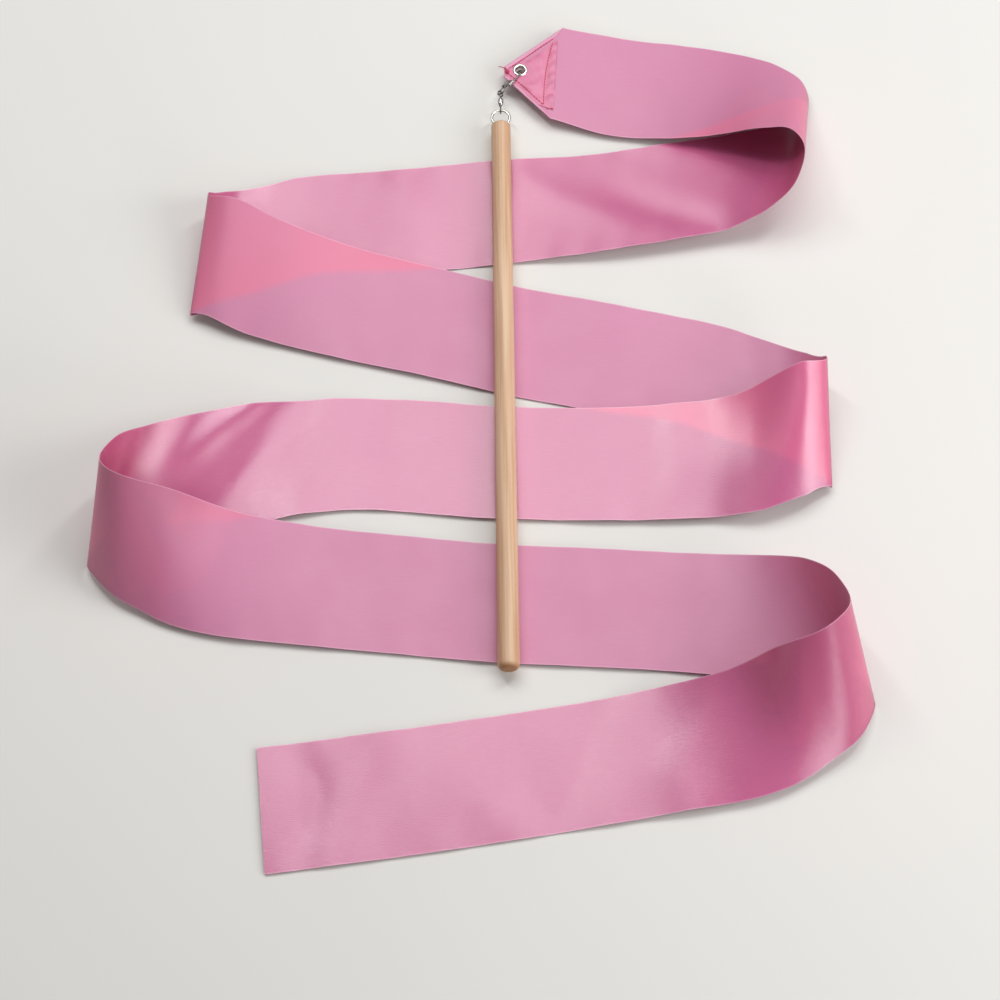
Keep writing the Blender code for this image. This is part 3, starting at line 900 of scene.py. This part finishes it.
class WAND_OT_ribbon(bpy.types.Operator):
    """Lays out the long satin strip with its turns, creases and pointed end"""

    bl_idname = "wand.ribbon"
    bl_label = "Ribbon"

    def execute(self, context):
        chosen = context.scene.ribbon_wand.ribbon
        grid, along, across, width = strip_grid(chosen)
        rows, columns = grid.shape[:2]
        points = grid.reshape(-1, 3)
        points[:, 2] = np.maximum(points[:, 2], chosen.thickness / 2 + 0.02 * MM)
        faces = grid_faces(rows, columns)
        uvs = np.stack(
            [
                np.repeat(along, columns),
                (across[None, :] * width[:, None] / 2).ravel() + chosen.width / 2,
            ],
            axis=1,
        )
        matte = polyester_satin("polyester_satin_dull_back", chosen, False)
        shiny = polyester_satin("polyester_satin_shiny_face", chosen, True)
        ribbon = new_mesh_object("satin_ribbon", points, faces, [matte, shiny], uvs)
        # Mask of the painted light from the layer below
        add_values(ribbon.data, "show_through_mask", layers_below(points, faces))
        # Lighter pink along both edges: partly the woven edge, partly painted rim light
        to_edge = (1 - np.abs(across))[None, :] * width[:, None] / 2
        add_values(ribbon.data, "edge", np.clip(1 - to_edge / (2.2 * MM), 0, 1).ravel())
        # Painted shade mask: the cloth's steepness, and the painted shadow in the pleat between the
        # far hem and the flap
        add_values(ribbon.data, "painted_shade_mask", np.maximum(steepness(grid), painted_pleat_shadow(grid)).ravel())
        give_thickness(ribbon, chosen.thickness, 1)
        settle(ribbon, "ribbon", "pink_satin", "ribbon")
        return {"FINISHED"}


def along_line(line, share):
    """Points at shares of a broken line's length."""
    line = np.array(line, float)
    lengths = np.concatenate([[0], np.cumsum(np.linalg.norm(np.diff(line, axis=0), axis=1))])
    place = np.asarray(share) * lengths[-1]
    return np.stack([np.interp(place, lengths, line[:, k]) for k in range(2)], axis=1)


class WAND_OT_flap(bpy.types.Operator):
    """Folds the ribbon's end over itself: the stitched flap and the turned-in hems beside it"""

    bl_idname = "wand.flap"
    bl_label = "Folded end"

    def execute(self, context):
        chosen = context.scene.ribbon_wand.ribbon
        matte = bpy.data.materials["polyester_satin_dull_back"]
        shiny = bpy.data.materials["polyester_satin_shiny_face"]
        rows, columns = 44, 49
        t = np.linspace(0, 1, rows)
        v = np.linspace(0, 1, columns)
        far, near = along_line(FLAP_FAR, t), along_line(FLAP_NEAR, t)
        flat = near[:, None] + (far - near)[:, None] * v[None, :, None]
        seam_gap = np.minimum(v, 1 - v)[None, :] * np.linalg.norm(far - near, axis=1)[:, None]
        puff = 1 - np.exp(-((seam_gap / 2.2) ** 2))
        puff = puff * (1 - np.exp(-(((flat[:, :, 0] + 13.4) / 2.0) ** 2)))
        x, y = flat[:, :, 0], flat[:, :, 1]
        height = 0.42 + 0.55 * puff
        # Puckers that the seams draw into the cloth
        height += 0.20 * np.sin(y * 0.95 + 0.5 * x) * np.exp(-(((x + 15) / 5) ** 2)) * puff
        height += 0.45 * np.exp(-(((y + 11.5 + 0.25 * x) / 2.4) ** 2)) * puff
        height -= 0.50 * np.exp(-(((y + 15.5 + 0.15 * x) / 2.2) ** 2)) * puff
        height += 0.18 * np.sin(x * 0.8 - y * 0.5 + 1.0) * puff
        near_eyelet = np.exp(-((np.hypot(x, y) / 5.0) ** 4))
        height = height * (1 - near_eyelet) + 0.5 * near_eyelet
        points = [
            head_point(flat[i, j], height[i, j] * MM) for i in range(rows) for j in range(columns)
        ]
        uvs = (flat.reshape(-1, 2) + 40) * MM
        # Faces run so that the shiny side is up
        flap = new_mesh_object(
            "ribbon_flap", points, [f[::-1] for f in grid_faces(rows, columns)], [shiny, matte], uvs
        )
        # Painted light: the whole flap takes half of the lighter pink painted for light from the
        # layer below
        add_values(flap.data, "show_through_mask", np.full(rows * columns, 0.5))
        # The flap's cut base edge takes the lighter edge pink, partly painted rim light
        base = np.clip(1 - (flat[:, :, 0] - flat[-1, :, 0].min()) / 1.4, 0, 1)
        add_values(flap.data, "edge", base.ravel())
        give_thickness(flap, chosen.thickness, 1)
        cut_hole(flap)
        settle(flap, "ribbon", "pink_satin")
        hems = [
            self.hem("ribbon_hem_near", [POINT_NEAR, SHOULDER_NEAR], 1, chosen, matte, shiny),
            self.hem("ribbon_hem_far", [POINT_FAR, SHOULDER_FAR], -1, chosen, matte, shiny),
        ]
        for hem in hems:
            settle(hem, "ribbon", "pink_satin")
        cut_hole(bpy.data.objects["satin_ribbon"])
        return {"FINISHED"}

    def hem(self, name, edge, inwards, chosen, matte, shiny):
        """The cloth turned in along one slanting side, as a low rounded roll."""
        start, end = np.array(edge[0]), np.array(edge[1])
        along = (end - start) / np.linalg.norm(end - start)
        inside = np.array([along[1], -along[0]]) * inwards
        rows, columns = 60, 9
        points, uvs = [], []
        for i in range(rows):
            t = i / (rows - 1)
            width = (2.4 - 0.7 * t + 0.2 * math.sin(9 * t)) * min(1, 6 * (1.02 - t))
            for j in range(columns):
                u = j / (columns - 1)
                spot = start + (end - start) * t + inside * width * u
                height = 0.14 + 0.42 * math.sin(math.pi * min(1, 0.12 + u)) ** 0.5 * (1 - 0.35 * u)
                height += 0.05 * math.sin(23 * t)
                points.append(head_point(spot, height * MM))
                uvs.append(((spot[0] + 40) * MM, (spot[1] + 40) * MM))
        faces = grid_faces(rows, columns)
        if inwards > 0:
            faces = [f[::-1] for f in faces]
        made = new_mesh_object(name, points, faces, [shiny, matte], uvs)
        # Painted light: a little of the lighter pink painted for light from the layer below
        add_values(made.data, "show_through_mask", np.full(rows * columns, 0.1))
        # The hem takes the lighter edge pink, most at its folded edge: painted rim light on the
        # roll
        edge_share = [0.95 - 0.2 * (j / (columns - 1)) for _ in range(rows) for j in range(columns)]
        add_values(made.data, "edge", edge_share)
        give_thickness(made, chosen.thickness * 0.8, 1)
        return made


def cut_hole(obj):
    """Cuts the eyelet's hole with a round tool that is then removed."""
    bpy.ops.mesh.primitive_cylinder_add(
        radius=HOLE_RADIUS, depth=10 * MM, vertices=48, location=EYELET
    )
    tool = bpy.context.object
    step = obj.modifiers.new("Hole", "BOOLEAN")
    step.operation = "DIFFERENCE"
    step.solver = "EXACT"
    step.object = tool
    bake(obj)
    mesh = tool.data
    bpy.data.objects.remove(tool)
    bpy.data.meshes.remove(mesh)
    obj.data.shade_smooth()
    obj.data.set_sharp_from_angle(angle=math.radians(50))


class WAND_OT_stitching(bpy.types.Operator):
    """Sews the folded end: rows of single stitches, the knot at the point and its loose tail"""

    bl_idname = "wand.stitching"
    bl_label = "Stitching"

    def execute(self, context):
        chosen = context.scene.ribbon_wand.ribbon
        thread = polyester_thread(chosen)
        top = bpy.data.objects["ribbon_flap"]
        graph = bpy.context.evaluated_depsgraph_get()
        surface = [BVHTree.FromObject(top, graph)]
        for name in ("ribbon_hem_near", "ribbon_hem_far", "satin_ribbon"):
            surface.append(BVHTree.FromObject(bpy.data.objects[name], graph))
        parts = []
        for seam in (BASE_SEAM, NEAR_SEAM, FAR_SEAM, TACK_SEAM):
            parts += self.sew(seam, surface, chosen.stitch, thread)
        parts += self.knot(surface, thread)
        stitches = join("ribbon_stitching", parts)
        settle(stitches, "ribbon", "red_thread", "ribbon_stitching")
        return {"FINISHED"}

    def on_top(self, spot, surface):
        """The highest cloth under a spot, as a point."""
        above = head_point(spot, 5 * MM)
        heights = [tree.ray_cast(above, Vector((0, 0, -1)))[0] for tree in surface]
        found = [hit.z for hit in heights if hit is not None]
        if not found:
            return head_point(spot, 0.4 * MM)
        return Vector((above.x, above.y, max(found)))

    def sew(self, seam, surface, stitch, thread):
        line = np.array(seam, float)
        length = np.linalg.norm(np.diff(line, axis=0), axis=1).sum() * MM
        count = max(2, round(length / stitch))
        parts = []
        for i in range(count):
            shares = (i + np.array([0.06, 0.25, 0.5, 0.75, 0.94])) / count
            spots = along_line(seam, shares)
            lifts = np.array([-0.12, 0.08, 0.14, 0.08, -0.12]) * MM
            route = [
                self.on_top(spot, surface) + Vector((0, 0, lift))
                for spot, lift in zip(spots, lifts)
            ]
            parts.append(tube("stitch", route, 0.25 * MM, thread, 8))
        return parts

    def knot(self, surface, thread):
        """Crossing stitches at the point, and the tail that stands away from them."""
        parts = []
        centre = np.array([6.6, -1.4])
        for start, end in (
            ((-1.0, -0.9), (1.0, 0.8)),
            ((-0.9, 0.8), (1.0, -0.8)),
            ((-1.2, 0.0), (1.2, 0.1)),
            ((0.0, -1.1), (0.1, 1.1)),
            ((-0.6, -1.2), (0.7, 1.1)),
        ):
            route = []
            for u in np.linspace(0, 1, 7):
                spot = centre + np.array(start) * (1 - u) + np.array(end) * u
                lift = 0.42 * math.sin(math.pi * u) + 0.05
                route.append(self.on_top(spot, surface) + Vector((0, 0, lift * MM)))
            parts.append(tube("knot", route, 0.34 * MM, thread, 8))
        tail = []
        for u in np.linspace(0, 1, 14):
            spot = centre + np.array([4.9 * u, 3.6 * u + 0.5 * math.sin(4 * u)])
            tail.append(head_point(spot, (0.9 - 0.9 * u + 0.4 * math.sin(3 * u)) * MM))
        parts.append(tube("tail", tail, 0.24 * MM, thread, 8))
        return parts


# ---------------------------------------------------------- stick and metal


class WAND_OT_stick(bpy.types.Operator):
    """Turns the wooden stick with its rounded tip and butt"""

    bl_idname = "wand.stick"
    bl_label = "Stick"

    def execute(self, context):
        chosen = context.scene.ribbon_wand.stick
        tip, butt = chosen.tip_diameter / 2, chosen.butt_diameter / 2
        flat = chosen.butt_flat / 2
        length = TIP_Y - BUTT_Y
        crown = 1.1 * MM
        profile = [(0, 0)]
        for x in np.linspace(0.15, 0.8, 5):
            profile.append((tip * x, -crown * 0.35 * x**2))
        profile += [
            (tip - crown + crown * math.cos(a), -1.35 * crown + crown * math.sin(a))
            for a in np.radians(np.linspace(70, 0, 8))
        ]
        for t in np.linspace(0.02, 0.98, 60):
            slip = 0.02 * MM * math.sin(31 * t) + 0.015 * MM * math.sin(67 * t)
            radius = tip + (butt - tip) * t + slip
            profile.append((radius, -t * (length - chosen.butt_rounding)))
        start = -(length - chosen.butt_rounding)
        for a in np.radians(np.linspace(0, 90, 12)):
            profile.append(
                (
                    flat + (butt - flat) * math.cos(a) ** 0.85,
                    start - chosen.butt_rounding * math.sin(a),
                )
            )
        profile.append((flat * 0.5, -length))
        profile.append((0, -length))
        stick = lathe("beech_stick", profile, beech_turned_and_sanded(chosen), 96, 40)
        place(stick, Vector((STICK_X, TIP_Y, AXIS_Z)), ALONG_Y)
        settle(stick, "wand", "beech", "stick")
        return {"FINISHED"}


def ring_route(radius, count=72):
    return [(x, y, 0) for x, y in arc_points((0, 0), radius, 0, 360 - 360 / count, count)]


class WAND_OT_screw_eye(bpy.types.Operator):
    """Bends the bright wire ring whose shank is screwed into the stick's tip"""

    bl_idname = "wand.screw_eye"
    bl_label = "Screw eye"

    def execute(self, context):
        chosen = context.scene.ribbon_wand.metal
        bright = nickel_plated("bright_nickel_plated_wire", chosen.bright, 0.16, 0.10)
        radius, wire = chosen.ring_diameter / 2, chosen.ring_wire / 2
        ring = tube("ring", ring_route(radius, 96), wire, bright, 24, True)
        centre = RING_PIVOT - Vector((0, radius, 0))
        place(ring, centre)
        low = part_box("screw_eye")[0]
        neck = centre.y - radius
        shank_route = [(STICK_X, y, AXIS_Z) for y in np.linspace(neck, low.y, 6)]
        shank = tube("shank", shank_route, wire - 0.05 * MM, bright, 16)
        eye = join("screw_eye_ring", [ring, shank])
        settle(eye, "wand", "bright_nickel", "screw_eye")
        return {"FINISHED"}


class WAND_OT_swivel(bpy.types.Operator):
    """Makes the barrel swivel: two wire eyes with beaded necks and the barrel between them"""

    bl_idname = "wand.swivel"
    bl_label = "Swivel"

    def execute(self, context):
        chosen = context.scene.ribbon_wand.metal
        dark = nickel_plated("black_nickel_plated_wire", chosen.dark, 0.2, 0.12)
        bright = bpy.data.materials["bright_nickel_plated_wire"]
        self.eye("swivel_lower_eye_wire", RING_PIVOT, 1, SWIVEL_RIGHT, chosen, dark)
        self.eye("swivel_upper_eye_wire", SNAP_PIVOT, -1, SNAP_PIVOT_AXIS, chosen, dark)
        half, belly = chosen.barrel_length / 2, chosen.barrel_diameter / 2
        profile = [(0.62 * MM, half), (belly * 0.60, half), (belly * 0.72, half * 0.93)]
        profile += [(belly * 0.98, half * 0.60), (belly, half * 0.50), (belly, half * 0.16)]
        profile += [(belly * 0.94, half * 0.09), (belly * 0.94, -half * 0.09)]
        profile += [(belly, -half * 0.16), (belly, -half * 0.50), (belly * 0.98, -half * 0.60)]
        profile += [(belly * 0.72, -half * 0.93), (belly * 0.60, -half), (0.62 * MM, -half)]
        barrel = lathe("swivel_barrel_shell", profile, bright, 48, 30)
        place(barrel, BARREL_CENTRE, ALONG_SWIVEL)
        settle(barrel, "barrel", "bright_nickel", "swivel_barrel")
        return {"FINISHED"}

    def eye(self, name, pivot, side, axis, chosen, finish):
        """A wire eye round the pivot with its necked shank towards the barrel."""
        wire = chosen.thin_wire / 2
        radius = chosen.eye_diameter / 2
        ring = tube("ring", ring_route(radius, 56), wire, finish, 16, True)
        place(ring, pivot, axes(SWIVEL_ALONG, axis.cross(SWIVEL_ALONG).normalized(), axis))
        reach = (BARREL_CENTRE - pivot).length
        neck = reach - chosen.barrel_length / 2
        profile = [(0.0, reach - 0.4 * MM), (wire, reach - 0.4 * MM), (wire, neck + 0.02 * MM)]
        profile += [(wire * 1.55, neck - 0.02 * MM), (wire * 1.7, neck - 0.2 * MM)]
        profile += [(wire * 1.45, neck - 0.42 * MM), (wire, neck - 0.5 * MM)]
        profile += [(wire, radius), (0.0, radius)]
        shank = lathe("shank", profile, finish, 24, 50)
        place(shank, pivot, ALONG_SWIVEL if side > 0 else AGAINST_SWIVEL)
        made = join(name, [ring, shank])
        body = "lower_eye" if side > 0 else "upper_eye"
        settle(made, body, "dark_nickel", f"swivel_{body}")


class WAND_OT_snap(bpy.types.Operator):
    """Bends the wire snap through the eyelet and closes it with its sheet clasp"""

    bl_idname = "wand.snap"
    bl_label = "Snap"

    def execute(self, context):
        chosen = context.scene.ribbon_wand.metal
        dark = bpy.data.materials["black_nickel_plated_wire"]
        half, length, out, across = self.sizes()
        clasp_at = (CLASP_HINGE - EYELET).dot(SNAP_ALONG) + length
        turn = axes(across, SNAP_ALONG, -out)
        straight = length - half
        route = [(half, clasp_at + 0.6 * MM, 0)]
        route += [(half, y, 0) for y in np.linspace(clasp_at + 1.2 * MM, straight, 6)[:-1]]
        route += [(x, y, 0) for x, y in arc_points((0, straight), half, 0, 180, 28)]
        route += [(-half, y, 0) for y in np.linspace(straight, 0, 8)[1:-1]]
        route += [(x, y, 0) for x, y in arc_points((0, 0), half, 180, 360, 28)]
        route += [(half, y, 0) for y in np.linspace(0, clasp_at - 0.6 * MM, 4)[1:]]
        wire = tube("snap_wire_loop", route, chosen.thin_wire / 2, dark, 16)
        place(wire, EYELET - SNAP_ALONG * length, turn)
        settle(wire, "snap", "dark_nickel", "snap_wire")
        self.clasp(turn, 2 * half, chosen)
        return {"FINISHED"}

    def sizes(self):
        """Half the loop's width, its length, and its own axes, from the frame's joints."""
        to_hinge = CLASP_HINGE - EYELET
        left = to_hinge - SNAP_ALONG * to_hinge.dot(SNAP_ALONG)
        half = left.length
        across = -left.normalized()
        out = SNAP_ALONG.cross(across)
        turned = math.atan2(-across.dot(SWIVEL_ALONG), SNAP_ALONG.dot(SWIVEL_ALONG))
        reach = -math.cos(turned) * SNAP_ALONG + math.sin(turned) * across
        origin = SNAP_PIVOT - reach * half
        return half, (EYELET - origin).length, out, across

    def clasp(self, turn, width, chosen):
        sheet = nickel_plated("stamped_nickel_sheet", linear("8E8A85"), 0.28, 0.1)
        thick = 0.3 * MM
        wrap = chosen.thin_wire / 2 + 0.475 * MM
        section = list(arc_points((0, 0), wrap, 400, 90, 22))
        for t in (0.2, 0.4, 0.6, 0.8):
            section.append((width * t, wrap + 0.12 * MM * math.sin(math.pi * t)))
        section += list(arc_points((width, 0), wrap, 90, 0, 8))
        section.append((width + wrap, -wrap * 0.3))
        low, high = -2.0 * MM, 2.0 * MM
        rows = np.linspace(low, high, 15)
        points = []
        for y in rows:
            edge = min(high - y, y - low) / (0.5 * MM)
            for i, (x, z) in enumerate(section):
                # The tongue narrows to its hook, and its middle is pressed in
                share = max(0, min(1, x / width))
                narrowed = y * (1 - 0.22 * share**2)
                pressed = 0.16 * MM * math.exp(-((y / (0.9 * MM)) ** 2)) * math.sin(math.pi * share)
                points.append((x, narrowed, z - pressed if edge > 0.2 else z))
        faces = [f[::-1] for f in grid_faces(len(rows), len(section))]
        made = new_mesh_object("snap_clasp_sheet", points, faces, [sheet])
        give_thickness(made, thick)
        soft = made.modifiers.new("Rounded", "BEVEL")
        soft.width = 0.06 * MM
        soft.segments = 2
        soft.limit_method = "ANGLE"
        bake(made)
        made.data.shade_smooth()
        made.data.set_sharp_from_angle(angle=math.radians(50))
        place(made, CLASP_HINGE, turn)
        settle(made, "clasp", "nickel_sheet", "snap_clasp")


class WAND_OT_eyelet(bpy.types.Operator):
    """Presses the rolled eyelet and its washer into the folded end"""

    bl_idname = "wand.eyelet"
    bl_label = "Eyelet"

    def execute(self, context):
        chosen = context.scene.ribbon_wand.metal
        silver = nickel_plated("bright_nickel_plated_eyelet", linear("DEDCD8"), 0.2, 0.12)
        outer = (EYELET_HIGH.x - EYELET_LOW.x) / 2 - 0.25 * MM
        bore = 2.3 * MM
        top, bottom = EYELET_HIGH.z - EYELET.z, EYELET_LOW.z - EYELET.z
        middle, swell = (outer + bore) / 2, (outer - bore) / 2
        profile = [
            (middle + swell * math.cos(a), top - 0.62 * MM + 0.62 * MM * math.sin(a))
            for a in np.radians(np.linspace(180, 0, 22))
        ]
        profile += [(outer - 0.2 * MM, top - 0.75 * MM), (bore + 0.3 * MM, top - 0.7 * MM)]
        profile += [(bore + 0.28 * MM, bottom + 0.1 * MM), (bore, bottom)]
        eyelet = lathe("eyelet_rolled", profile, silver, 72, 50)
        place(eyelet, EYELET)
        settle(eyelet, "ribbon", "eyelet_nickel", "eyelet")
        low, high = (corner.z - EYELET.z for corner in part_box("eyelet_washer"))
        profile = [(bore + 0.5 * MM, high), (outer - 0.1 * MM, high - 0.05 * MM)]
        profile += [(outer, high - 0.15 * MM), (outer - 0.3 * MM, low + 0.02 * MM)]
        profile += [(bore + 0.8 * MM, low), (bore + 0.5 * MM, low + 0.1 * MM)]
        washer = lathe("eyelet_washer_ring", profile, silver, 72, 50)
        place(washer, EYELET)
        settle(washer, "ribbon", "eyelet_nickel", "eyelet_washer")
        return {"FINISHED"}


# ------------------------------------------------------------------- stage


class WAND_OT_stage(bpy.types.Operator):
    """Sets the pale floor, the soft studio lights and the camera"""

    bl_idname = "wand.stage"
    bl_label = "Stage"

    def execute(self, context):
        chosen = context.scene.ribbon_wand.stage
        self.floor(chosen)
        self.camera(context, chosen)
        for name, location, size, power in (
            ("top_softbox", (0.06, 0.60, 1.30), (0.75, 1.10), chosen.top_power),
            ("side_softbox", (1.05, -0.20, 0.65), (0.50, 0.80), chosen.side_power),
            ("low_softbox", (0.85, -0.95, 0.45), (0.45, 0.40), chosen.low_power),
            ("left_strip_light", (-0.50, 0.62, 1.20), (0.10, 0.60), chosen.strip_power),
            ("right_strip_light", (0.62, 0.62, 1.20), (0.10, 0.60), chosen.strip_power),
        ):
            self.light(name, location, size, power)
        world = bpy.data.worlds.new("studio")
        context.scene.world = world
        world.use_nodes = True
        background = world.node_tree.nodes["Background"]
        background.inputs["Color"].default_value = rgba(linear("F2F1EF"))
        background.inputs["Strength"].default_value = chosen.fill
        context.scene.view_settings.view_transform = "Standard"
        return {"FINISHED"}

    def floor(self, chosen):
        """Matte painted board: even, pale and without gloss."""
        paint, tree, shader = new_material("matte_painted_board", Roughness=0.85)
        spot = add_node(tree, "TexCoord")
        noise = add_node(
            tree, "TexNoise", {"Scale": 6.0, "Detail": 2.0}, {"Vector": spot.outputs["Object"]}
        )
        tone = set_ramp(
            add_node(tree, "ValToRGB", links={"Fac": noise.outputs["Fac"]}),
            [(0.3, [c * 0.985 for c in chosen.floor]), (0.7, chosen.floor)],
        )
        tree.links.new(tone.outputs[0], shader.inputs["Base Color"])
        half = 3.0
        points = [(-half, -half, 0), (half, -half, 0), (half, half, 0), (-half, half, 0)]
        board = new_mesh_object("studio_floor", points, [(0, 1, 2, 3)], [paint])
        board.location.z = -0.3 * MM

    def camera(self, context, chosen):
        data = bpy.data.cameras.new("studio_camera")
        data.lens = chosen.lens
        data.sensor_width = 36
        data.clip_start, data.clip_end = 0.05, 20
        camera = bpy.data.objects.new("studio_camera", data)
        context.scene.collection.objects.link(camera)
        turn = Matrix.Rotation(-chosen.heading, 3, "Z")
        forward = turn @ Vector((0, math.sin(chosen.tilt), -math.cos(chosen.tilt)))
        right = turn @ Vector((1, 0, 0))
        target = Vector((11 * MM, -43.5 * MM, 6 * MM))
        rows = axes(right, right.cross(forward), -forward)
        camera.matrix_world = Matrix.Translation(target - forward * chosen.distance) @ rows.to_4x4()
        context.scene.camera = camera

    def light(self, name, location, size, power):
        data = bpy.data.lights.new(name, "AREA")
        data.shape = "RECTANGLE"
        data.size, data.size_y = size
        data.energy = power
        lamp = bpy.data.objects.new(name, data)
        bpy.context.scene.collection.objects.link(lamp)
        lamp.location = location
        lamp.rotation_euler = (-Vector(location)).to_track_quat("-Z", "Y").to_euler()


class VIEW3D_PT_ribbon_wand(bpy.types.Panel):
    """Lists the wand's pieces and their settings"""

    bl_label = "Ribbon Wand"
    bl_space_type = "VIEW_3D"
    bl_region_type = "UI"
    bl_category = "Ribbon Wand"

    def draw(self, context):
        settings = context.scene.ribbon_wand
        for operator in OPERATORS:
            self.layout.operator(operator.bl_idname)
        for group in (settings.stick, settings.metal, settings.ribbon, settings.stage):
            box = self.layout.box()
            for name in group.__annotations__:
                box.prop(group, name)


GROUPS = (StickSettings, MetalSettings, RibbonSettings, StageSettings, WandSettings)
OPERATORS = (
    WAND_OT_stage,
    WAND_OT_stick,
    WAND_OT_screw_eye,
    WAND_OT_swivel,
    WAND_OT_snap,
    WAND_OT_eyelet,
    WAND_OT_ribbon,
    WAND_OT_flap,
    WAND_OT_stitching,
)


def register():
    for item in (*GROUPS, *OPERATORS, VIEW3D_PT_ribbon_wand):
        bpy.utils.register_class(item)
    bpy.types.Scene.ribbon_wand = PointerProperty(type=WandSettings)


def unregister():
    del bpy.types.Scene.ribbon_wand
    for item in reversed((*GROUPS, *OPERATORS, VIEW3D_PT_ribbon_wand)):
        bpy.utils.unregister_class(item)


def declare_cloth():
    """Lists the stitching, the eyelet pieces and the folded end's pieces; nothing is done with the
    list.
    """
    pieces = ["ribbon_stitching", "eyelet_rolled", "eyelet_washer_ring"]
    pieces += ["ribbon_flap", "ribbon_hem_near", "ribbon_hem_far"]


def main():
    register()
    for operator in OPERATORS:
        group, name = operator.bl_idname.split(".")
        getattr(getattr(bpy.ops, group), name)()
    declare_cloth()


if __name__ == "__main__":
    main()
